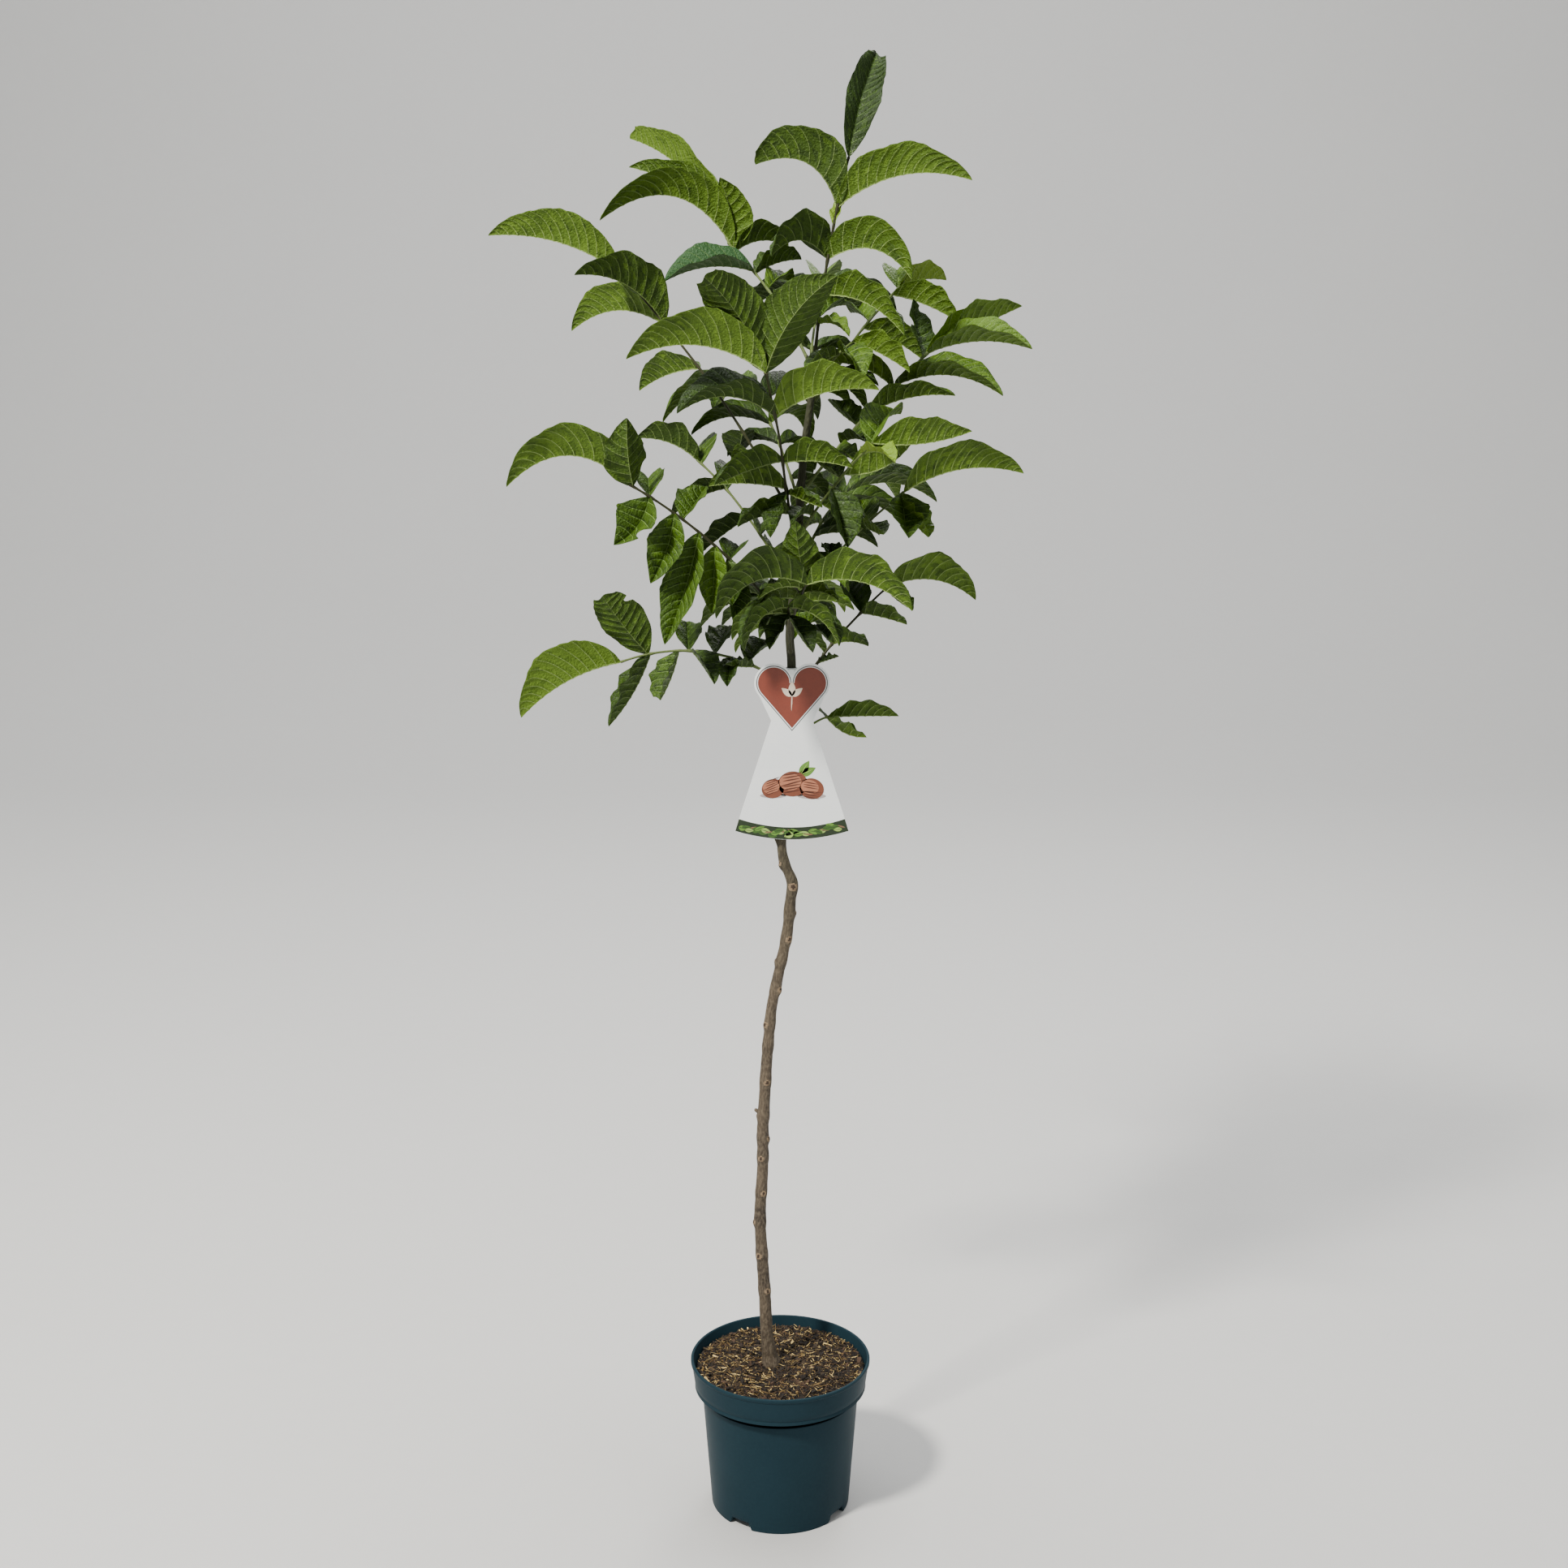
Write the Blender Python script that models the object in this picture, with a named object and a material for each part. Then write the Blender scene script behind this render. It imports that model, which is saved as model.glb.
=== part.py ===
"""A young walnut tree in a nursery pot, with a hanging picture tag.

Metres, +Z up. The origin is under the middle of the pot, on the surface it stands on.
-Y is the front of the tree, +X its right side.
"""

import math
import random
from collections import namedtuple

import bmesh
import bpy
from mathutils import Matrix, Vector
from mathutils.bvhtree import BVHTree

CM = 0.01
GAP = 0.0003

# Pot: outer radii and heights
POT_HEIGHT = 0.188
POT_FOOT_RADIUS = 0.084
POT_SHOULDER_RADIUS = 0.0945
POT_BAND_RADIUS = 0.103
POT_RIM_RADIUS = 0.1085
POT_BAND_HEIGHT = 0.035
POT_LIP_HEIGHT = 0.005
POT_LIP_PROUD = 0.0012
POT_WALL = 0.0024
POT_FLOOR = 0.004
POT_SIDES = 40
NOTCH_COUNT = 4
NOTCH_FIRST_BEARING = -35.0
NOTCH_WIDTH = 0.028
NOTCH_HEIGHT = 0.005
NOTCH_DEPTH = 0.016

# Soil inside the pot
SOIL_EDGE_HEIGHT = 0.172
SOIL_TOP_HEIGHT = 0.177
SOIL_FLAT_RADIUS = 0.024

# Trunk: height above the pot's foot, sideways lean and radius, from the foot to the tip
TrunkStation = namedtuple("TrunkStation", "height lean radius")
TRUNK = (
    TrunkStation(SOIL_TOP_HEIGHT + GAP, -0.011, 0.0125),
    TrunkStation(0.190, -0.013, 0.0088),
    TrunkStation(0.215, -0.016, 0.0070),
    TrunkStation(0.274, -0.019, 0.0066),
    TrunkStation(0.368, -0.024, 0.0066),
    TrunkStation(0.430, -0.021, 0.0062),
    TrunkStation(0.492, -0.020, 0.0064),
    TrunkStation(0.623, -0.011, 0.0060),
    TrunkStation(0.662, -0.004, 0.0058),
    TrunkStation(0.721, 0.008, 0.0060),
    TrunkStation(0.762, 0.012, 0.0060),
    TrunkStation(0.782, 0.014, 0.0058),
    TrunkStation(0.806, 0.005, 0.0056),
    TrunkStation(0.828, 0.002, 0.0052),
    TrunkStation(0.920, 0.009, 0.0050),
    TrunkStation(1.035, 0.013, 0.0050),
    TrunkStation(1.072, 0.011, 0.0048),
    TrunkStation(1.145, 0.018, 0.0046),
    TrunkStation(1.270, 0.026, 0.0043),
    TrunkStation(1.323, 0.033, 0.0039),
    TrunkStation(1.375, 0.038, 0.0032),
)
TRUNK_SIDES = 10
TRUNK_STEPS = 2

# Short dead stubs and spurs on the trunk
Stub = namedtuple("Stub", "height bearing rise length radius")
STUBS = (
    Stub(0.826, 190, 65, 0.016, 0.0024),
    Stub(1.352, 190, 80, 0.026, 0.0026),
    Stub(0.726, 60, 30, 0.009, 0.0026),
    Stub(0.500, 175, 35, 0.009, 0.0026),
)

# Tag: a heart-headed card that hangs from a strap round the trunk
TAG_CENTRE = 0.0135
TAG_TOP = 1.039
TAG_LOBE_RADIUS = 0.022
TAG_LOBE_OFFSET = 0.0205
TAG_WAIST_HEIGHT = 0.974
TAG_WAIST_HALF = 0.0235
TAG_CORNER_HEIGHT = 0.846
TAG_CORNER_HALF = 0.065
TAG_BOTTOM = 0.836
TAG_THICKNESS = 0.001
TAG_FRONT = -0.0112
STRAP_HEIGHT = 1.031
STRAP_TALL = 0.004
STRAP_THICK = 0.0012
STRAP_CLEAR = 0.0005
TONGUE_WIDTH = 0.006
TONGUE_FOOT = 1.008

# Compound leaves. Sizes are in centimetres and angles in degrees: bearing 0 is the tree's right,
# 90 its back and -90 its front. A stalk leaves the trunk at a height, then runs out and rises, with
# a bow above the straight line. A leaflet sits at a place from 0 to 1 along the stalk and runs out
# and rises to its tip. Its arch is how far its upper edge stands above the line from root to tip.
# It is turned about its midrib, and its two halves fold up from the midrib like a keel.
Leaf = namedtuple("Leaf", "name height bearing out rise bow leaflets")
Leaflet = namedtuple("Leaflet", "place bearing out rise arch width turn fold", defaults=(42,))

STALK_FOOT_RADIUS = 0.0030
STALK_RADIUS = 0.0016
STALK_TIP_RADIUS = 0.0012
STALK_SIDES = 5
STALK_STEPS = 5
RIM_STEPS = 8
BLADE_THICK = 0.0018
BLADE_STEPS = 6
SMALL_BLADE_STEPS = 4
SMALL_BLADE = 7.8
BLADE_ROOT = 0.0016
BLADE_TIP = 0.0010
ROOT_SINK = 0.3
CLEAR_SWELL = 0.0016

LEAVES = (
    Leaf("leaf_top", 137.8, 5, 3.6, 21.0, 0.4, (
        Leaflet(1.00, 62, 7.0, 11.6, 3.5, 5.6, 28, 50),
        Leaflet(0.75, 185, 9.2, 4.2, 6.4, 7.6, 30),
        Leaflet(0.75, -6, 14.4, 2.7, 5.3, 7.0, -30),
        Leaflet(0.49, 215, 7.4, 0.2, 4.9, 6.4, 30),
        Leaflet(0.49, -25, 9.8, -2.2, 5.4, 6.8, -30),
        Leaflet(0.31, -40, 11.2, -4.2, 4.2, 6.0, -30),
        Leaflet(0.31, 235, 8.4, -2.6, 3.0, 5.6, 25),
        Leaflet(0.66, 60, 2.6, 3.0, 0.8, 1.8, 0),
    )),
    Leaf("leaf_upper_back", 136.6, 128, 15.0, 13.5, 1.0, (
        Leaflet(1.00, 142, 15.6, 12.4, 5.4, 6.4, 30),
        Leaflet(0.98, 172, 11.6, 8.6, 4.8, 6.4, 30),
        Leaflet(0.95, 194, 15.2, 2.8, 7.4, 7.2, 20),
        Leaflet(0.94, 235, 2.6, 7.6, 1.6, 5.0, 0, 22),
        Leaflet(0.92, 25, 6.6, 0.6, 3.2, 5.2, -20),
        Leaflet(0.72, 195, 10.2, -1.2, 3.6, 5.8, -20),
        Leaflet(0.70, 30, 6.0, 1.6, 2.4, 5.0, -10),
    )),
    Leaf("leaf_upper_left", 119.9, 163, 20.4, 27.0, 1.2, (
        Leaflet(1.00, 177, 14.4, 3.8, 4.8, 7.6, 25),
        Leaflet(0.77, 215, 11.2, 5.0, 5.0, 7.0, 25),
        Leaflet(0.76, 150, 12.8, -0.6, 5.2, 7.0, 25),
        Leaflet(0.58, 138, 9.6, -2.6, 3.0, 5.4, 20),
        Leaflet(0.52, 280, 3.6, -2.4, 1.2, 3.2, 10),
        Leaflet(0.33, 100, 6.6, -3.6, 1.2, 5.0, 0),
    )),
    Leaf("leaf_front", 115.5, 255, 12.0, 20.6, 1.0, (
        Leaflet(1.00, 186, 14.4, 1.4, 5.8, 8.0, 25),
        Leaflet(1.00, 214, 7.8, 9.8, 4.0, 6.2, 55, 26),
        Leaflet(1.00, -34, 8.6, 9.6, 4.4, 6.4, -50, 28),
        Leaflet(0.76, 196, 10.6, 0.4, 4.7, 7.0, -10),
        Leaflet(0.76, -14, 11.2, 2.8, 4.4, 7.4, -20),
        Leaflet(0.52, 202, 7.8, -2.4, 2.8, 5.8, 20),
        Leaflet(0.51, -22, 8.0, -0.4, 3.0, 5.8, -20),
        Leaflet(0.37, 172, 8.6, 0.2, 3.4, 6.4, 25),
        Leaflet(0.36, 240, 3.6, -4.8, 1.4, 4.4, 20),
        Leaflet(0.24, 208, 6.4, -1.2, 2.6, 5.0, 15),
        Leaflet(0.35, -35, 4.6, -1.4, 1.2, 3.2, -10),
    )),
    Leaf("leaf_mid_left", 108.5, 195, 17.4, 15.6, 1.2, (
        Leaflet(1.00, 184, 13.2, -0.2, 6.6, 7.6, 20),
        Leaflet(0.98, 258, 2.0, 7.4, 1.6, 5.4, 40, 24),
        Leaflet(0.89, 95, 6.2, 1.6, 2.0, 4.8, 0),
        Leaflet(0.89, 215, 4.6, -5.0, 2.2, 5.0, 20),
        Leaflet(0.75, 225, 3.6, -7.4, 2.0, 5.2, 20),
        Leaflet(0.70, 65, 5.6, 3.2, 1.4, 4.6, 0),
        Leaflet(0.60, 218, 4.8, -12.0, 2.4, 5.8, 15),
        Leaflet(0.50, 262, 2.4, -7.2, 1.2, 4.4, 0),
        Leaflet(0.42, 300, 3.0, -9.0, 1.2, 4.0, 0),
        Leaflet(0.40, 80, 5.0, 1.0, 1.6, 4.4, 0),
        Leaflet(0.28, 248, 4.4, -2.6, 1.8, 4.4, 10),
    )),
    Leaf("leaf_low_left", 101.4, 174, 18.8, 2.2, 2.4, (
        Leaflet(1.00, 186, 11.4, -6.2, 6.6, 8.4, 25),
        Leaflet(0.84, 206, 5.6, 7.3, 2.6, 6.0, 50, 22),
        Leaflet(0.83, 212, 5.4, -7.8, 1.8, 5.4, 20),
        Leaflet(0.66, 232, 3.4, -5.4, 1.6, 4.8, 15),
        Leaflet(0.60, 95, 5.0, 2.6, 1.4, 4.2, 0),
        Leaflet(0.58, -55, 4.6, -3.2, 1.8, 4.2, -10),
        Leaflet(0.44, 75, 5.4, 2.4, 1.4, 4.2, 0),
        Leaflet(0.34, 262, 3.0, -2.8, 1.0, 3.2, 0),
        Leaflet(0.24, 60, 5.6, 1.6, 1.8, 4.6, 0),
        Leaflet(0.20, 215, 3.8, 0.6, 0.8, 2.8, 0),
    )),
    Leaf("leaf_low_right", 100.4, 28, 12.0, 11.4, 0.6, (
        Leaflet(1.00, 8, 10.2, -1.8, 4.6, 6.6, -25),
        Leaflet(0.98, 138, 8.0, 1.8, 2.2, 5.4, 10),
        Leaflet(0.97, -50, 4.6, -2.0, 1.2, 3.4, -15),
        Leaflet(0.72, 105, 6.0, 2.8, 1.6, 4.8, 0),
        Leaflet(0.72, -28, 5.8, -1.0, 2.0, 4.2, -20),
        Leaflet(0.42, -38, 5.0, 0.2, 2.0, 3.8, -15),
        Leaflet(0.42, 115, 4.6, 1.6, 1.0, 3.4, 0),
        Leaflet(0.25, 20, 2.6, 0.6, 0.6, 1.8, 0),
    )),
    Leaf("leaf_mid_right", 110.9, 12, 12.0, 11.8, 0.6, (
        Leaflet(1.00, 6, 13.6, 2.0, 4.6, 6.6, -25),
        Leaflet(0.99, -84, 4.6, -4.6, 1.6, 6.4, -10),
        Leaflet(0.95, -34, 4.2, -4.4, 1.6, 5.0, -10),
        Leaflet(0.70, 100, 5.0, 2.0, 1.2, 4.4, 0),
        Leaflet(0.66, -65, 4.6, -0.6, 1.4, 4.0, -10),
        Leaflet(0.36, 95, 3.8, 1.2, 0.8, 3.2, 0),
        Leaflet(0.34, -48, 4.8, -1.8, 2.0, 4.4, -10),
    )),
    Leaf("leaf_upper_right", 123.6, 8, 13.4, 14.4, 0.4, (
        Leaflet(1.00, -10, 11.4, 0.4, 3.6, 6.4, 10),
        Leaflet(0.99, 26, 12.2, 5.2, 3.0, 6.2, -25),
        Leaflet(0.97, 110, 3.2, 6.2, 1.0, 4.4, 30, 25),
        Leaflet(0.74, -22, 12.4, -1.0, 4.0, 5.8, 10),
        Leaflet(0.73, 180, 9.2, 2.2, 3.2, 5.6, 0),
        Leaflet(0.53, -26, 10.2, 2.0, 2.4, 4.8, 0),
        Leaflet(0.44, 130, 5.0, 2.6, 1.2, 4.2, 0),
    )),
    Leaf("leaf_right", 118.6, -52, 12.0, 10.2, 0.5, (
        Leaflet(1.00, 2, 10.4, 1.2, 2.2, 6.0, -30),
        Leaflet(0.97, 62, 7.4, 3.0, 2.8, 5.2, 0),
        Leaflet(0.86, -40, 4.4, -0.8, 2.2, 3.8, 10),
        Leaflet(0.62, 6, 7.6, 3.6, 2.0, 6.6, -35),
        Leaflet(0.58, 128, 4.4, 1.6, 1.2, 4.0, 0),
        Leaflet(0.30, -20, 5.2, -2.8, 1.8, 4.6, -15),
        Leaflet(0.46, -60, 3.2, -6.2, 1.8, 5.4, 0),
    )),
    Leaf("leaf_upper_back_right", 132.8, 42, 13.0, 12.4, 0.6, (
        Leaflet(1.00, 28, 6.2, 0.8, 2.6, 4.8, -20),
        Leaflet(0.98, 88, 5.4, 2.2, 1.8, 4.6, 0),
        Leaflet(0.92, -6, 7.4, -3.0, 2.8, 5.2, -25),
        Leaflet(0.66, 108, 6.0, 1.0, 2.0, 4.8, 0),
        Leaflet(0.60, 6, 6.6, -3.4, 2.6, 5.0, -20),
    )),
    Leaf("leaf_top_right", 134.6, -30, 4.4, 4.6, 0.4, (
        Leaflet(1.00, -12, 6.2, -3.2, 2.6, 5.2, -20),
        Leaflet(0.72, -62, 4.2, -3.0, 2.4, 4.6, 0),
        Leaflet(0.66, 216, 4.4, -2.2, 1.8, 4.0, 10),
    )),
    Leaf("leaf_low_front", 108.2, 279, 10.4, 5.8, 0.6, (
        Leaflet(1.00, 200, 10.2, -3.2, 5.7, 7.4, 25),
        Leaflet(1.00, -18, 11.6, -2.4, 5.2, 7.6, -25),
        Leaflet(0.97, 240, 2.4, 7.0, 1.2, 4.4, 20, 25),
    )),
    Leaf("leaf_low_front_small", 105.2, 268, 7.0, 6.0, 0.4, (
        Leaflet(1.00, 212, 5.6, -4.4, 3.4, 4.6, 20),
        Leaflet(0.99, -32, 6.4, -3.8, 3.2, 4.6, -20),
        Leaflet(0.82, 178, 6.2, -3.0, 2.8, 4.4, 10),
        Leaflet(0.80, 240, 4.2, -3.4, 1.2, 3.6, 10),
        Leaflet(0.76, -52, 4.2, -3.6, 1.2, 3.8, -10),
    )),
    Leaf("leaf_lowest_right", 95.2, 18, 4.0, 2.2, 0.3, (
        Leaflet(1.00, 10, 8.2, -0.2, 2.0, 4.2, -25),
        Leaflet(0.96, -32, 5.2, -1.8, 0.8, 3.4, -20),
        Leaflet(0.94, 80, 3.4, -0.8, 1.0, 3.0, 0),
    )),
    Leaf("leaf_back_left", 112.4, 146, 12.6, 13.6, 1.0, (
        Leaflet(1.00, 172, 7.0, 2.4, 3.2, 5.2, 25),
        Leaflet(0.96, 96, 8.0, 1.0, 3.0, 5.4, 0),
        Leaflet(0.74, 202, 6.4, -3.0, 2.6, 5.0, 15),
        Leaflet(0.72, 80, 8.4, 0.4, 3.0, 5.4, 0),
        Leaflet(0.50, 200, 6.0, -4.2, 2.2, 4.8, 15),
    )),
)

# Leaves at the back of the crown follow one rule: pairs of leaflets that shorten towards the trunk
BackLeaf = namedtuple("BackLeaf", "name height bearing out rise pairs length seed")
BACK_LEAVES = (
    BackLeaf("leaf_back_high", 130.6, 84, 12.0, 15.0, 3, 12.0, 3),
    BackLeaf("leaf_back_middle", 121.8, 112, 14.0, 11.0, 3, 12.5, 5),
    BackLeaf("leaf_back_right", 114.0, 62, 14.0, 8.6, 3, 12.0, 8),
    BackLeaf("leaf_back_low", 104.0, 96, 14.0, 5.0, 3, 11.5, 13),
)
PAIR_SPREAD = 58.0
PAIR_FIRST_PLACE = 0.45
PAIR_LAST_PLACE = 0.86
PAIR_SHORTEST = 0.62


def material(name, colour, roughness):
    made = bpy.data.materials.new(name)
    made.use_nodes = True
    shader = made.node_tree.nodes["Principled BSDF"]
    shader.inputs["Base Color"].default_value = (*colour, 1.0)
    shader.inputs["Roughness"].default_value = roughness
    made.diffuse_color = (*colour, 1.0)
    return made


def solid(name, shell, finish, smooth=None):
    """One named object from a (points, faces) shell."""
    points, faces = shell
    mesh = bpy.data.meshes.new(name)
    mesh.from_pydata([tuple(point) for point in points], [], faces)
    mesh.validate()
    tidy = bmesh.new()
    tidy.from_mesh(mesh)
    bmesh.ops.recalc_face_normals(tidy, faces=tidy.faces)
    tidy.to_mesh(mesh)
    tidy.free()
    mesh.materials.append(finish)
    made = bpy.data.objects.new(name, mesh)
    bpy.context.scene.collection.objects.link(made)
    if smooth is not None:
        mesh.shade_smooth()
        mesh.set_sharp_from_angle(angle=math.radians(smooth))
    return made


def apply_modifiers(made):
    """Keep the shape that the modifiers give, and drop them."""
    depsgraph = bpy.context.evaluated_depsgraph_get()
    result = bpy.data.meshes.new_from_object(made.evaluated_get(depsgraph))
    old = made.data
    made.modifiers.clear()
    made.data = result
    bpy.data.meshes.remove(old)
    result.name = made.name


def fused(name, shells, finish, smooth=None):
    """One solid from overlapping shells, by a single union on a collection."""
    made = solid(name, shells[0], finish, smooth)
    group = bpy.data.collections.new(name + "_pieces")
    bpy.context.scene.collection.children.link(group)
    for number, shell in enumerate(shells[1:]):
        piece = solid(f"{name}_piece_{number}", shell, finish, smooth)
        bpy.context.scene.collection.objects.unlink(piece)
        group.objects.link(piece)
    union = made.modifiers.new("union", "BOOLEAN")
    union.operation = "UNION"
    union.solver = "MANIFOLD"
    union.operand_type = "COLLECTION"
    union.collection = group
    apply_modifiers(made)
    for piece in list(group.objects):
        mesh = piece.data
        bpy.data.objects.remove(piece)
        bpy.data.meshes.remove(mesh)
    bpy.data.collections.remove(group)
    keep_main_body(made.data)
    return made


def keep_main_body(mesh):
    """Fill any hollow that the union sealed and drop any loose scrap."""
    body = bmesh.new()
    body.from_mesh(mesh)
    bmesh.ops.triangulate(body, faces=body.faces)
    waiting = set(body.faces)
    islands = []
    while waiting:
        island = {waiting.pop()}
        edge_of_search = list(island)
        while edge_of_search:
            face = edge_of_search.pop()
            for edge in face.edges:
                if len(edge.link_faces) != 2:
                    continue
                for neighbour in edge.link_faces:
                    if neighbour in waiting:
                        waiting.discard(neighbour)
                        island.add(neighbour)
                        edge_of_search.append(neighbour)
        islands.append(island)
    islands.sort(key=len)
    for island in islands[:-1]:
        bmesh.ops.delete(body, geom=list(island), context="FACES")
    body.to_mesh(mesh)
    body.free()


def turned(profile, sides):
    """A round solid from (radius, height) points that start and end on the axis."""
    points = []
    rings = []
    for radius, height in profile:
        if radius == 0.0:
            rings.append([len(points)])
            points.append(Vector((0.0, 0.0, height)))
            continue
        ring = []
        for side in range(sides):
            angle = math.tau * side / sides
            ring.append(len(points))
            points.append(Vector((radius * math.cos(angle), radius * math.sin(angle), height)))
        rings.append(ring)
    faces = []
    for lower, upper in zip(rings, rings[1:]):
        for side in range(sides):
            after = (side + 1) % sides
            corners = [lower[side % len(lower)], lower[after % len(lower)],
                       upper[after % len(upper)], upper[side % len(upper)]]
            faces.append(tuple(dict.fromkeys(corners)))
    return points, faces


def tube(path, radii, sides):
    """A closed round limb along a path, with a flat cap at each end."""
    points = []
    count = len(path)
    across = Vector((0.0, 1.0, 0.0))
    for index, centre in enumerate(path):
        ahead = path[min(index + 1, count - 1)]
        behind = path[max(index - 1, 0)]
        along = (ahead - behind).normalized()
        across = (across - along * across.dot(along)).normalized()
        third = along.cross(across)
        for side in range(sides):
            angle = math.tau * side / sides
            ray = across * math.cos(angle) + third * math.sin(angle)
            points.append(centre + ray * radii[index])
    faces = []
    for index in range(count - 1):
        for side in range(sides):
            after = (side + 1) % sides
            first = index * sides
            faces.append((first + side, first + after, first + sides + after, first + sides + side))
    faces.append(tuple(range(sides)))
    faces.append(tuple((count - 1) * sides + side for side in range(sides)))
    return points, faces


def heading(bearing):
    angle = math.radians(bearing)
    return Vector((math.cos(angle), math.sin(angle), 0.0))


def trunk_at(height):
    """Centre and radius of the trunk at a height, on a smooth line through its stations."""
    inside = min(max(height, TRUNK[0].height), TRUNK[-1].height)
    upper = next(index for index, station in enumerate(TRUNK) if station.height >= inside)
    upper = max(upper, 1)
    low = TRUNK[upper - 1]
    high = TRUNK[upper]
    before = TRUNK[max(upper - 2, 0)]
    beyond = TRUNK[min(upper + 1, len(TRUNK) - 1)]
    span = high.height - low.height
    share = (inside - low.height) / span
    slope_low = (high.lean - before.lean) / (high.height - before.height)
    slope_high = (beyond.lean - low.lean) / (beyond.height - low.height)
    cube = share * share * share
    square = share * share
    lean = (2 * cube - 3 * square + 1) * low.lean + (3 * square - 2 * cube) * high.lean
    lean += span * ((cube - 2 * square + share) * slope_low + (cube - square) * slope_high)
    radius = low.radius + (high.radius - low.radius) * share
    return Vector((lean, 0.0, height)), radius


def trunk_shells():
    path = []
    radii = []
    for low, high in zip(TRUNK, TRUNK[1:]):
        for step in range(TRUNK_STEPS):
            centre, radius = trunk_at(low.height + (high.height - low.height) * step / TRUNK_STEPS)
            path.append(centre)
            radii.append(radius)
    centre, radius = trunk_at(TRUNK[-1].height)
    path.append(centre)
    radii.append(radius)
    shells = [tube(path, radii, TRUNK_SIDES)]
    floor = TRUNK[0].height
    points = shells[0][0]
    for index in range(TRUNK_SIDES):
        points[index].z = floor
    for stub in STUBS:
        foot, radius = trunk_at(stub.height)
        rise = math.radians(stub.rise)
        along = heading(stub.bearing) * math.cos(rise) + Vector((0.0, 0.0, math.sin(rise)))
        start = foot + heading(stub.bearing) * radius * 0.5
        ends = [start, start + along * stub.length]
        shells.append(tube(ends, [stub.radius, stub.radius * 0.7], STALK_SIDES))
    return shells


def pot_shell():
    """The pot's wall and floor as one turned profile."""
    band_foot = POT_HEIGHT - POT_BAND_HEIGHT
    lip_foot = POT_HEIGHT - POT_LIP_HEIGHT
    lip_radius = POT_RIM_RADIUS - POT_LIP_PROUD
    profile = (
        (0.0, 0.0),
        (POT_FOOT_RADIUS, 0.0),
        (POT_SHOULDER_RADIUS, band_foot - 0.002),
        (POT_BAND_RADIUS, band_foot),
        (lip_radius, lip_foot),
        (POT_RIM_RADIUS, lip_foot + 0.0008),
        (POT_RIM_RADIUS, POT_HEIGHT - 0.0006),
        (POT_RIM_RADIUS - 0.0006, POT_HEIGHT),
        (lip_radius - POT_WALL + 0.0006, POT_HEIGHT),
        (lip_radius - POT_WALL, POT_HEIGHT - 0.0006),
        (POT_BAND_RADIUS - POT_WALL, band_foot + 0.002),
        (POT_SHOULDER_RADIUS - POT_WALL, band_foot),
        (POT_FOOT_RADIUS - POT_WALL, POT_FLOOR),
        (0.0, POT_FLOOR),
    )
    return turned(profile, POT_SIDES)


def cut_notches(pot):
    """Drain notches in the lower edge of the pot's wall."""
    for number in range(NOTCH_COUNT):
        bearing = NOTCH_FIRST_BEARING - 90.0 + number * 360.0 / NOTCH_COUNT
        mesh = bpy.data.meshes.new(f"notch_{number}")
        block = bmesh.new()
        bmesh.ops.create_cube(block, size=1.0)
        bmesh.ops.scale(block, vec=(NOTCH_DEPTH, NOTCH_WIDTH, NOTCH_HEIGHT * 2.0), verts=block.verts)
        block.to_mesh(mesh)
        block.free()
        cutter = bpy.data.objects.new(f"notch_{number}", mesh)
        bpy.context.scene.collection.objects.link(cutter)
        cutter.location = heading(bearing) * (POT_FOOT_RADIUS + 0.002)
        cutter.rotation_euler = (0.0, 0.0, math.radians(bearing))
        cutter.hide_render = True
        cutter.display_type = "WIRE"
        cut = pot.modifiers.new(f"notch_{number}", "BOOLEAN")
        cut.operation = "DIFFERENCE"
        cut.solver = "EXACT"
        cut.object = cutter


def pot_inner_radius(height):
    """Radius of the pot's inside at a height under the rim band."""
    share = (height - POT_FLOOR) / (POT_HEIGHT - POT_BAND_HEIGHT - POT_FLOOR)
    lower = POT_FOOT_RADIUS - POT_WALL
    upper = POT_SHOULDER_RADIUS - POT_WALL
    return lower + (upper - lower) * share


def soil_shell():
    band_foot = POT_HEIGHT - POT_BAND_HEIGHT
    bottom = POT_FLOOR + GAP
    edge_share = (SOIL_EDGE_HEIGHT - band_foot - 0.002) / (POT_BAND_HEIGHT - 0.0026)
    band_inner = POT_BAND_RADIUS - POT_WALL
    lip_inner = POT_RIM_RADIUS - POT_LIP_PROUD - POT_WALL
    edge_radius = band_inner + (lip_inner - band_inner) * edge_share
    profile = (
        (0.0, bottom),
        (pot_inner_radius(bottom) - 2 * GAP, bottom),
        (pot_inner_radius(band_foot) - 2 * GAP, band_foot + GAP),
        (band_inner - 2 * GAP, band_foot + 0.002 + 2 * GAP),
        (edge_radius - 2 * GAP, SOIL_EDGE_HEIGHT),
        (0.070, SOIL_EDGE_HEIGHT + 0.003),
        (SOIL_FLAT_RADIUS, SOIL_TOP_HEIGHT),
        (0.0, SOIL_TOP_HEIGHT),
    )
    return turned(profile, POT_SIDES)


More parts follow.
